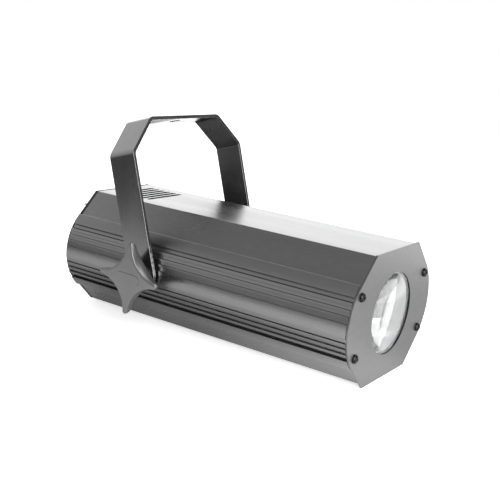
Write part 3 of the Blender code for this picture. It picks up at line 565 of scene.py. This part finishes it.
def bandX(height, radius):
    return bowCentre + math.sqrt(radius ** 2 - height ** 2)


def bandAngle(height, radius):
    return math.degrees(math.asin(height / radius))


def addProfileHalf(work, total, settings):
    # the upper half of the section, its slot made for a cover with that x + z along its slants
    radius = settings["radius"]
    tangent = radius / math.sqrt(2)
    lipSum = bowCentre + 2 * tangent
    lipX = lipSum - settings["lipZ"]
    bands = [(tangent, 0.0)] + settings["bands"][::-1]
    ends = [upper for upper, depth in bands[1:]] + [0.0]
    # the skin, from the lip down to the axis
    vertex = first = work.verts.new((lipX, 0, settings["lipZ"]))
    vertex = lineTo(work, vertex, (lipX + settings["lipChamfer"], 0, settings["lipZ"] - settings["lipChamfer"]))
    vertex = lineTo(work, vertex, (bowCentre + tangent, 0, tangent))
    for (upper, depth), lower in zip(bands, ends):
        r = radius - depth
        if abs(vertex.co.x - bandX(upper, r)) > shapeSettings["tolerance"]:
            vertex = lineTo(work, vertex, (bandX(upper, r), 0, upper))
        turn = bandAngle(lower, r) - bandAngle(upper, r)
        steps = max(1, round(abs(turn) / settings["stepDegrees"]))
        vertex = arcFrom(work, vertex, (bowCentre, 0, 0), turn, steps)
    # the lip's inner side, the slot, the flange and the wall behind, down to the axis
    slotOuter = total + settings["slotPlay"]
    slotInner = total - coverSettings["thickness"] * math.sqrt(2) - settings["slotPlay"]
    step, width = (lipSum - slotOuter) / 2, (slotOuter - slotInner) / 2
    flangeSum, flangeTop = slotInner - settings["flangeSpan"], settings["lipZ"] - settings["flangeDrop"]
    slotZ, flangeZ, corner = settings["slotZ"], settings["flangeZ"], settings["flangeCorner"]
    wallX, (wallLow, wallHigh) = settings["wallX"], settings["wallZ"]
    vertex = lineTo(work, first, (lipX - step, 0, settings["lipZ"] - step))
    for x, z in ((slotOuter - slotZ, slotZ), (slotOuter - slotZ - width, slotZ - width),
                 (slotInner - flangeTop, flangeTop), (flangeSum - flangeTop + corner, flangeTop - corner),
                 (flangeSum - flangeZ, flangeZ), (wallX, wallHigh), (wallX, wallLow)):
        vertex = lineTo(work, vertex, (x, 0, z))
    inner = settings["innerRadius"]
    vertex = lineTo(work, vertex, (bandX(wallLow, inner), 0, wallLow))
    arcFrom(work, vertex, (bowCentre, 0, 0), -bandAngle(wallLow, inner), settings["innerSteps"])


def outerEdges(work, settings):
    # the long edges on the section's outer side, and those of them on the lips
    long = [edge for edge in work.edges if abs(edge.verts[0].co.y - edge.verts[1].co.y) > settings["longEdge"]
            and edge.verts[0].co.x > settings["outerX"]]
    return long, [edge for edge in long if abs(edge.verts[0].co.z) > settings["lipZ"] - 0.1]


def makeSideProfile(name, way, settings, replaced):
    work = bmesh.new()
    addProfileHalf(work, coverSettings["lower"][1], settings)
    bmesh.ops.scale(work, verts=work.verts, vec=(1, 1, -1))
    addProfileHalf(work, coverSettings["upper"][1], settings)
    bmesh.ops.remove_doubles(work, verts=work.verts, dist=0.001)
    bmesh.ops.contextual_create(work, geom=work.edges[:])
    made = bmesh.ops.extrude_face_region(work, geom=work.faces[:])
    far = [item for item in made["geom"] if isinstance(item, bmesh.types.BMVert)]
    bmesh.ops.translate(work, verts=far, vec=(0, settings["end"] - settings["start"], 0))
    bmesh.ops.translate(work, verts=work.verts, vec=(0, settings["start"], 0))
    bmesh.ops.recalc_face_normals(work, faces=work.faces)
    along, lips = outerEdges(work, settings)
    bevelSharp(work, settings["edgeRound"], chosen=[edge for edge in along if edge not in lips])
    along, lips = outerEdges(work, settings)
    bevelSharp(work, settings["lipRound"], 3, chosen=lips)
    # the lips' rims take the lighter aluminium finish
    lightRimZ = settings["lipZ"] - settings["lipChamfer"] + settings["lightRimPlay"]
    for face in work.faces:
        if abs(face.normal.y) < 0.5 and abs(face.calc_center_median().z) > lightRimZ:
            face.material_index = 1
    if way < 0:
        bmesh.ops.rotate(work, cent=(0, 0, 0), matrix=Matrix.Rotation(math.pi, 3, "Z"), verts=work.verts)
        bmesh.ops.translate(work, verts=work.verts, vec=(0, settings["start"] + settings["end"], 0))
    side = finishPiece(work, name, "housing", finishes["profile"], [replaced], sharp=28)
    side.data.materials.append(finishes["mill"])


makeSideProfile("leftProfileExtrusion", -1, profileSettings, "left_side_profile")
makeSideProfile("rightProfileExtrusion", 1, profileSettings, "right_side_profile")
print("side profiles made")


# Button-head screws with hexagon sockets
screwSettings = {
    # half of the section, from the thread's end out and up to the socket's edge, as (radius, height)
    "section": [(2.0, -10), (2.0, 0.15), (4.75, 0.15), (4.75, 0.9), (4.35, 2.05), (3.5, 2.8), (2.7, 3.1),
                (2.15, 3.1)],
    "socketRadius": 1.75,
    "socketDepth": 2.0,
    "turnSteps": 36,
}


def makeScrew(name, x, z, face, way, settings, replaced):
    work = bmesh.new()
    vertex = work.verts.new((*settings["section"][0], 0))
    for point in settings["section"][1:]:
        vertex = lineTo(work, vertex, (*point, 0))
    height = settings["section"][-1][1]
    bmesh.ops.spin(work, geom=work.verts[:] + work.edges[:], cent=(0, 0, 0), axis=(0, 1, 0),
                   angle=2 * math.pi, steps=settings["turnSteps"], use_merge=True)
    rim = [edge for edge in work.edges if edge.is_boundary and edge.verts[0].co.y > 1]
    before = set(work.edges)
    matrix = Matrix.Translation((0, height, 0)) @ Matrix.Rotation(math.pi / 2, 4, "X")
    bmesh.ops.create_circle(work, segments=6, radius=settings["socketRadius"], matrix=matrix)
    socket = [edge for edge in work.edges if edge not in before]
    bmesh.ops.bridge_loops(work, edges=rim + socket)
    made = bmesh.ops.extrude_edge_only(work, edges=socket)
    low = [item for item in made["geom"] if isinstance(item, bmesh.types.BMVert)]
    bmesh.ops.translate(work, verts=low, vec=(0, -settings["socketDepth"], 0))
    bmesh.ops.contextual_create(work, geom=low)
    ends = [edge for edge in work.edges if edge.is_boundary]
    bmesh.ops.contextual_create(work, geom=ends)
    place = Matrix.Translation((x, face, z))
    if way < 0:
        place = place @ Matrix.Rotation(math.pi, 4, "Z")
    finishPiece(work, name, "housing", finishes["screw"], [replaced], place=place)


number = 0
for x in (-plateSettings["screwX"], plateSettings["screwX"]):
    for z in (plateSettings["screwZ"], -plateSettings["screwZ"]):
        number += 1
        makeScrew(f"frontHeadScrew{number}", x, z, 0, -1, screwSettings, f"front_screw_{number}")
        makeScrew(f"rearHeadScrew{number}", x, z, panelSettings["length"], 1, screwSettings, f"rear_screw_{number}")
print("screws made")


# Yoke: a flat bar bent four times, leaning back on its pivots
yokeSettings = {
    "pivot": (0, 258.3, 0),
    "lean": 16.9,
    "half": 100.6,
    "knee": 136.0,
    "topHalf": 62.8,
    "top": 173.0,
    "width": 36.0,
    "thickness": 4.0,
    "bendRadius": 9.0,
    "edgeRound": 0.6,
    "holeRadius": 6.5,
    "foldSegments": 8,
    "footSegments": 14,
    "holeSteps": 56,
    "wallFlatness": 0.95,
}


def makeYoke(settings):
    work = bmesh.new()
    half, foot = settings["width"] / 2, -settings["width"] / 2
    x, knee, topX, top = settings["half"], settings["knee"], settings["topHalf"], settings["top"]
    vertex = work.verts.new((x, -half, foot))
    for point in ((x, knee), (topX, top), (-topX, top), (-x, knee), (-x, foot)):
        vertex = lineTo(work, vertex, (point[0], -half, point[1]))
    made = bmesh.ops.extrude_edge_only(work, edges=work.edges[:])
    far = [item for item in made["geom"] if isinstance(item, bmesh.types.BMVert)]
    bmesh.ops.translate(work, verts=far, vec=(0, settings["width"], 0))
    folds = [edge for edge in work.edges if len(edge.link_faces) == 2]
    bmesh.ops.bevel(work, geom=folds, offset=settings["bendRadius"] * math.tan(math.pi / 8), offset_type="OFFSET",
                    segments=settings["foldSegments"], profile=0.5, affect="EDGES", material=-1)
    feet = [corner for corner in work.verts if corner.co.z < foot + 0.1]
    bmesh.ops.bevel(work, geom=feet, offset=half - shapeSettings["tolerance"], offset_type="OFFSET",
                    segments=settings["footSegments"], profile=0.5, affect="VERTICES", material=-1)
    roof = max(work.faces, key=lambda face: face.calc_center_median().z)
    rim = list(roof.edges)
    bmesh.ops.delete(work, geom=[roof], context="FACES_ONLY")
    before = set(work.edges)
    matrix = Matrix.Translation((0, 0, top))
    bmesh.ops.create_circle(work, segments=settings["holeSteps"], radius=settings["holeRadius"], matrix=matrix)
    hole = [edge for edge in work.edges if edge not in before]
    bmesh.ops.triangle_fill(work, use_beauty=True, edges=rim + hole, normal=(0, 0, 1))
    mergeFlat(work)
    thickenDown(work, settings["thickness"])
    bevelSharp(work, settings["edgeRound"], 3, angle=shapeSettings["sheetAngle"])
    # the top hole's wall and rim get the screws' black finish as painted shade
    paintHoleShade(work, 2, settings["holeRadius"] + settings["edgeRound"], settings["wallFlatness"])
    place = Matrix.Translation(settings["pivot"]) @ Matrix.Rotation(math.radians(-settings["lean"]), 4, "X")
    bar = finishPiece(work, "yokeBar", "yoke_bar", finishes["yoke"], ["yoke"], place=place)
    bar.data.materials.append(finishes["screw"])


makeYoke(yokeSettings)
print("yoke made")


# Clamping knobs: a cast star with hollow sides and a bare raised pad
knobSettings = {
    "face": 124.0,
    "turn": 1.5,
    "tip": 40.5,
    "tipRadius": 3.3,
    "waist": 20.0,
    # rings of the wall from the face back: (how far the outline moves in, height above the face)
    "frontRings": [(2.6, 0.25), (1.5, 0.15), (0.8, 0.0), (0.35, -0.15), (0.08, -0.45), (0.0, -0.8), (0.22, -1.15),
                   (0.3, -1.5), (0.12, -1.9)],
    # then (how far the outline moves in, share of the depth at that point)
    "backRings": [(0.0, 0.32), (0.12, 0.45), (0.5, 0.62), (1.1, 0.8), (1.8, 0.93), (2.7, 1.0)],
    "hubDepth": 17.0,
    "hubRadius": 17.0,
    "coneSlope": 0.39,
    "bossRadius": 11.0,
    "bossDepth": 21.1,
    "padLength": 34.0,
    "padWidth": 11.5,
    "padHeight": 0.9,
    "padSunk": 0.5,
    "padRound": 0.25,
    "padSteps": 16,
    "tipSteps": 12,
    "sideSteps": 22,
}


def addStar(work, inset, settings):
    # four round tips joined by hollow sides, moved evenly inwards
    side = settings["tip"] - settings["tipRadius"]
    narrow = settings["waist"] - settings["tipRadius"]
    diagonal = (narrow ** 2 - side ** 2) / (2 * math.sqrt(2) * narrow - 2 * side)
    lean = math.degrees(math.atan2(diagonal - side, diagonal))
    before = set(work.verts)
    start = Matrix.Rotation(math.radians(90 - lean), 4, "Y") @ Vector((settings["tipRadius"] - inset, 0, 0))
    vertex = work.verts.new(start + Vector((side, 0, 0)))
    for quarter in range(4):
        turn = Matrix.Rotation(-math.pi / 2 * quarter, 4, "Y")
        vertex = arcFrom(work, vertex, turn @ Vector((side, 0, 0)), 180 - 2 * lean, settings["tipSteps"])
        vertex = arcFrom(work, vertex, turn @ Vector((diagonal, 0, diagonal)), 2 * lean - 90, settings["sideSteps"])
    made = [item for item in work.verts if item not in before]
    bmesh.ops.remove_doubles(work, verts=made, dist=shapeSettings["tolerance"])
    ring = set(item for item in work.verts if item not in before)
    return ring, [edge for edge in work.edges if edge.verts[0] in ring]


def coneDepth(radius, settings):
    return settings["hubDepth"] - settings["coneSlope"] * (radius - settings["hubRadius"])


def makeKnob(name, way, body, settings, replaced):
    work = bmesh.new()
    loops = []
    for inset, height in settings["frontRings"]:
        ring, edges = addStar(work, inset, settings)
        bmesh.ops.translate(work, verts=list(ring), vec=(0, height, 0))
        loops.append(edges)
    for inset, share in settings["backRings"]:
        ring, edges = addStar(work, inset, settings)
        for corner in ring:
            corner.co.y = -share * coneDepth(corner.co.length, settings)
        loops.append(edges)
    # the cone goes on to a round boss towards the arm
    for depth in (coneDepth(settings["bossRadius"], settings), settings["bossDepth"]):
        made = bmesh.ops.extrude_edge_only(work, edges=loops[-1])["geom"]
        for corner in made:
            if isinstance(corner, bmesh.types.BMVert):
                corner.co = Vector((corner.co.x, 0, corner.co.z)).normalized() * settings["bossRadius"]
                corner.co.y = -depth
        loops.append([item for item in made if isinstance(item, bmesh.types.BMEdge) and item.is_boundary])
    rings = len(settings["frontRings"]) + len(settings["backRings"])
    for near, far in zip(loops, loops[1:rings]):
        bmesh.ops.bridge_loops(work, edges=near + far)
    for end in (loops[0], loops[-1]):
        bmesh.ops.contextual_create(work, geom=end)
    # raised bare pad
    pad = bmesh.new()
    addSlot(pad, 0, 0, settings["padLength"], settings["padWidth"], settings["padSteps"], y=-settings["padSunk"])
    bmesh.ops.contextual_create(pad, geom=pad.edges[:])
    made = bmesh.ops.extrude_face_region(pad, geom=pad.faces[:])
    high = [item for item in made["geom"] if isinstance(item, bmesh.types.BMVert)]
    bmesh.ops.translate(pad, verts=high, vec=(0, settings["padHeight"] + settings["padSunk"], 0))
    bmesh.ops.recalc_face_normals(pad, faces=pad.faces)
    bevelSharp(pad, settings["padRound"])
    addPart(work, pad)
    place = (Matrix.Translation((way * settings["face"], yokeSettings["pivot"][1], 0))
             @ Matrix.Rotation(math.radians(settings["turn"]), 4, "X")
             @ Matrix.Rotation(-way * math.pi / 2, 4, "Z"))
    finishPiece(work, name, body, finishes["casting"], [replaced], sharp=40, place=place)


makeKnob("leftStarKnob", -1, "left_clamp", knobSettings, "left_knob")
makeKnob("rightStarKnob", 1, "right_clamp", knobSettings, "right_knob")
print("knobs made")


# Front lens: a domed disc of glass
lensSettings = {
    "radius": 46.5,
    "domeRadius": 43.6,
    "apex": -6.0,
    "rim": 2.4,
    "rimChamfer": (0.3, 0.4),
    "back": 12.4,
    "backChamfer": 0.6,
    "domeSteps": 24,
    "turnSteps": 128,
}


def makeLens(settings):
    work = bmesh.new()
    rise = settings["rim"] - settings["apex"]
    curve = (settings["domeRadius"] ** 2 + rise ** 2) / (2 * rise)
    half = math.degrees(math.asin(settings["domeRadius"] / curve))
    vertex = work.verts.new((0, settings["apex"], 0))
    centre = (0, settings["apex"] + curve, 0)
    vertex = arcFrom(work, vertex, centre, half, settings["domeSteps"], axis=(0, 0, 1))
    radius, rim, back = settings["radius"], settings["rim"], settings["back"]
    (across, along), cut = settings["rimChamfer"], settings["backChamfer"]
    for x, y in ((radius - across, rim), (radius, rim + along), (radius, back - cut), (radius - cut, back),
                 (0, back)):
        vertex = lineTo(work, vertex, (x, y, 0))
    bmesh.ops.spin(work, geom=work.verts[:] + work.edges[:], cent=(0, 0, 0), axis=(0, 1, 0),
                   angle=2 * math.pi, steps=settings["turnSteps"], use_merge=True)
    finishPiece(work, "frontLensGlass", "housing", finishes["glass"], ["front_lens"], sharp=25)


makeLens(lensSettings)
print("lens made")


# CAD pieces that keep their shape: a merged copy with rounded edges stands for each of them
def refineNode(node, name, body, finish, width):
    work = bmesh.new()
    work.from_mesh(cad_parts[node].data)
    bmesh.ops.transform(work, matrix=toFrame.inverted(), verts=work.verts)
    bmesh.ops.remove_doubles(work, verts=work.verts, dist=0.002)
    bmesh.ops.dissolve_limit(work, angle_limit=math.radians(1), verts=work.verts, edges=work.edges, delimit=set())
    bmesh.ops.recalc_face_normals(work, faces=work.faces)
    bevelSharp(work, width, angle=35)
    finishPiece(work, name, body, finishes[finish], [node], sharp=30, merge=False)


refined = [
    ("mains_inlet", "mainsInletBody", "housing", "black", "black_plastic", 0.3),
    ("fuse_holder", "fuseHolderShell", "housing", "black", "black_plastic", 0.25),
    ("fuse_cap", "fuseCapPlug", "fuse", "black", "black_plastic", 0.25),
    ("data_in_socket", "dataInShell", "housing", "black", "black_plastic", 0.25),
    ("data_out_socket", "dataOutShell", "housing", "black", "black_plastic", 0.25),
    ("data_out_latch", "dataLatchTab", "latch", "zinc", "zinc", 0.3),
    ("menu_button", "menuButtonCap", "menu", "black", "black_plastic", 0.25),
    ("up_button", "upButtonCap", "up", "black", "black_plastic", 0.25),
    ("down_button", "downButtonCap", "down", "black", "black_plastic", 0.25),
    ("enter_button", "enterButtonCap", "enter", "black", "black_plastic", 0.25),
    ("sensitivity_knob", "sensitivityDial", "dial", "black", "black_plastic", 0.3),
    ("safety_eye", "safetyEyeBracket", "housing", "zinc", "zinc", 0.3),
]
for node, name, body, finish, slotName, width in refined:
    refineNode(node, name, body, finish, width)
print("rear fittings refined")

carried = {
    "left_knob_stud": "zinc", "right_knob_stud": "zinc", "left_knob_washer": "zinc", "right_knob_washer": "zinc",
    "left_friction_disc": "rubber", "right_friction_disc": "rubber", "left_pivot_nut": "zinc",
    "right_pivot_nut": "zinc", "lens_ring": "white", "light_baffle": "white", "pattern_wheel": "blackPlate",
    "wheel_hub": "mill", "wheel_motor": "black", "condenser_holder": "black", "condenser_lens": "glass",
    "led_board": "white", "led_emitter": "emitter", "heat_sink": "mill", "fan_frame": "black", "fan_rotor": "black",
    "chassis": "mill", "power_supply": "mill", "driver_board": "board", "control_board": "board",
    "mains_lead_inner": "wire", "led_lead_inner": "wire", "display": "display",
}
for node, finish in carried.items():
    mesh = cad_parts[node].data
    mesh.materials.clear()
    mesh.materials.append(finishes[finish])
print("carried pieces finished")


# Floor, lamps and the room that the metal reflects
studioSettings = {
    "floorColor": 0.86,
    "floorRoughness": 0.9,
    "floorSize": 6.0,
    "floorDrop": 0.0005,
    # fades over the floor: from and to these metres, and the values there
    "whiteAway": (0.2, 0.5, 0.62, 1.0),
    "backdropAcross": (0.42, 0.6),
    "backdropAlong": (-0.1, 0.4, 1.25, 2.5),
    "besideAcross": (-0.12, -0.06),
    "besideEnd": (0.02, 0.1, 1.0, 0.0),
    "besideAlong": (-0.14, 0.04, 0.42, 0.14),
    "leftDarkReflection": (-0.62, -0.32, 0.1, 1.0),
    "rightAcross": (0.02, 0.1),
    "rightAlong": (-0.22, -0.05),
    "nearAcross": (-0.22, -0.1),
    "nearAlong": (-0.34, 0.0),
    # the share of light that is left in the full shade at each side, and in metal that is seen in metal
    "rightLeft": 0.1,
    "nearLeft": 0.5,
    "twiceLeft": 0.1,
    "room": 0.1,
    # direction, full within and gone beyond these degrees, brightness
    "glows": [
        ((0.85, 0.5, 0.1), 34, 54, 1.75),
        ((0.0, 0.95, 0.3), 16, 38, 0.72),
        ((-0.6, 0.4, 0.7), 15, 48, 0.22),
        ((0.8, -0.2, 0.5), 6, 20, 1.2),
        ((0.4, -0.25, 0.85), 8, 24, 2.6),
        ((-0.75, 0.59, 0.33), 8, 26, 0.35),
    ],
    # name, place, what it's aimed at, size and watts
    "lamps": [("frontLeftLamp", (-0.5, -0.8, 0.42), (0, -0.15, 0.02), 1.1, 18)],
}


def addMath(nodes, links, operation, first, second):
    step = nodes.new("ShaderNodeMath")
    step.operation = operation
    for socket, value in zip(step.inputs, (first, second)):
        if isinstance(value, (int, float)):
            socket.default_value = value
        else:
            links.new(value, socket)
    return step.outputs[0]


def addFade(nodes, links, source, start, end, low=0.0, high=1.0):
    spread = nodes.new("ShaderNodeMapRange")
    spread.interpolation_type = "SMOOTHSTEP"
    spread.inputs["From Min"].default_value = start
    spread.inputs["From Max"].default_value = end
    spread.inputs["To Min"].default_value = low
    spread.inputs["To Max"].default_value = high
    links.new(source, spread.inputs["Value"])
    return spread.outputs["Result"]


def makeFloor(settings):
    work = bmesh.new()
    bmesh.ops.create_grid(work, x_segments=1, y_segments=1, size=settings["floorSize"] / 2)
    bmesh.ops.translate(work, verts=work.verts, vec=(0, 0, -settings["floorDrop"]))
    mesh = bpy.data.meshes.new("studioFloor")
    work.to_mesh(mesh)
    work.free()
    material, nodes, links, shader = startMaterial("paleFloor", (settings["floorColor"],) * 3,
                                                   settings["floorRoughness"], 0.0)
    place = nodes.new("ShaderNodeTexCoord")
    parts = nodes.new("ShaderNodeSeparateXYZ")
    links.new(place.outputs["Object"], parts.inputs["Vector"])
    across, along = parts.outputs["X"], parts.outputs["Y"]
    away = nodes.new("ShaderNodeVectorMath")
    away.operation = "LENGTH"
    links.new(place.outputs["Object"], away.inputs[0])
    path = nodes.new("ShaderNodeLightPath")

    def fade(source, name):
        return addFade(nodes, links, source, *settings[name])

    def product(first, second):
        return addMath(nodes, links, "MULTIPLY", first, second)

    # the floor fades to the white background away from the object and keeps its shadow close by
    seen = product(path.outputs["Is Camera Ray"], fade(away.outputs["Value"], "whiteAway"))
    # in the metal the paper turns into a lit backdrop at the right, and lights the lower slants by the object
    backdrop = product(fade(across, "backdropAcross"), fade(along, "backdropAlong"))
    beside = product(product(fade(across, "besideAcross"), fade(across, "besideEnd")), fade(along, "besideAlong"))
    mirrored = product(path.outputs["Is Glossy Ray"], addMath(nodes, links, "ADD", backdrop, beside))
    links.new(addMath(nodes, links, "ADD", seen, mirrored), shader.inputs["Emission Strength"])
    shader.inputs["Emission Color"].default_value = (1, 1, 1, 1)
    # in the metal its colour is painted dark: a painted reflection of a dark room at the left, and painted shade at
    # the object's far and near sides
    rightShade = product(fade(across, "rightAcross"), fade(along, "rightAlong"))
    nearShade = product(fade(across, "nearAcross"), fade(along, "nearAlong"))
    light = product(fade(across, "leftDarkReflection"), addFade(nodes, links, rightShade, 0, 1, 1.0, settings["rightLeft"]))
    light = product(light, addFade(nodes, links, nearShade, 0, 1, 1.0, settings["nearLeft"]))
    amount = product(path.outputs["Is Glossy Ray"], addMath(nodes, links, "SUBTRACT", 1.0, light))
    tone = settings["floorColor"]
    addTint(nodes, links, amount, (tone, tone, tone), (0, 0, 0), shader.inputs["Base Color"])
    mesh.materials.append(material)
    floor = bpy.data.objects.new("studioFloor", mesh)
    scene.collection.objects.link(floor)


def addLamp(name, location, target, size, power):
    data = bpy.data.lights.new(name, "AREA")
    data.shape = "SQUARE"
    data.size = size
    data.energy = power
    lamp = bpy.data.objects.new(name, data)
    scene.collection.objects.link(lamp)
    lamp.visible_camera = False
    direction = Vector(target) - Vector(location)
    lamp.matrix_world = Matrix.Translation(location) @ direction.to_track_quat("-Z", "Y").to_matrix().to_4x4()


def makeWorld(settings):
    world = bpy.data.worlds.new("studioRoom")
    scene.world = world
    world.use_nodes = True
    nodes, links = world.node_tree.nodes, world.node_tree.links
    nodes.clear()
    output = nodes.new("ShaderNodeOutputWorld")
    place = nodes.new("ShaderNodeTexCoord")
    total = settings["room"]
    for direction, inner, outer, brightness in settings["glows"]:
        towards = nodes.new("ShaderNodeVectorMath")
        towards.operation = "DOT_PRODUCT"
        towards.inputs[1].default_value = Vector(direction).normalized()
        links.new(place.outputs["Generated"], towards.inputs[0])
        glow = addFade(nodes, links, towards.outputs["Value"], math.cos(math.radians(outer)),
                       math.cos(math.radians(inner)), 0.0, brightness)
        total = addMath(nodes, links, "ADD", glow, total)
    path = nodes.new("ShaderNodeLightPath")
    # metal seen in metal stays dark
    twice = addMath(nodes, links, "GREATER_THAN", path.outputs["Glossy Depth"], 1.5)
    total = addMath(nodes, links, "MULTIPLY", total, addFade(nodes, links, twice, 0, 1, 1.0, settings["twiceLeft"]))
    room, white = nodes.new("ShaderNodeBackground"), nodes.new("ShaderNodeBackground")
    room.inputs["Color"].default_value = white.inputs["Color"].default_value = (1, 1, 1, 1)
    links.new(total, room.inputs["Strength"])
    seen = addMath(nodes, links, "MAXIMUM", path.outputs["Is Camera Ray"], path.outputs["Is Transmission Ray"])
    mix = nodes.new("ShaderNodeMixShader")
    links.new(seen, mix.inputs["Fac"])
    links.new(room.outputs["Background"], mix.inputs[1])
    links.new(white.outputs["Background"], mix.inputs[2])
    links.new(mix.outputs["Shader"], output.inputs["Surface"])


makeFloor(studioSettings)
makeWorld(studioSettings)
for lamp in studioSettings["lamps"]:
    addLamp(*lamp)
print("studio made")

scene.view_settings.view_transform = "Standard"
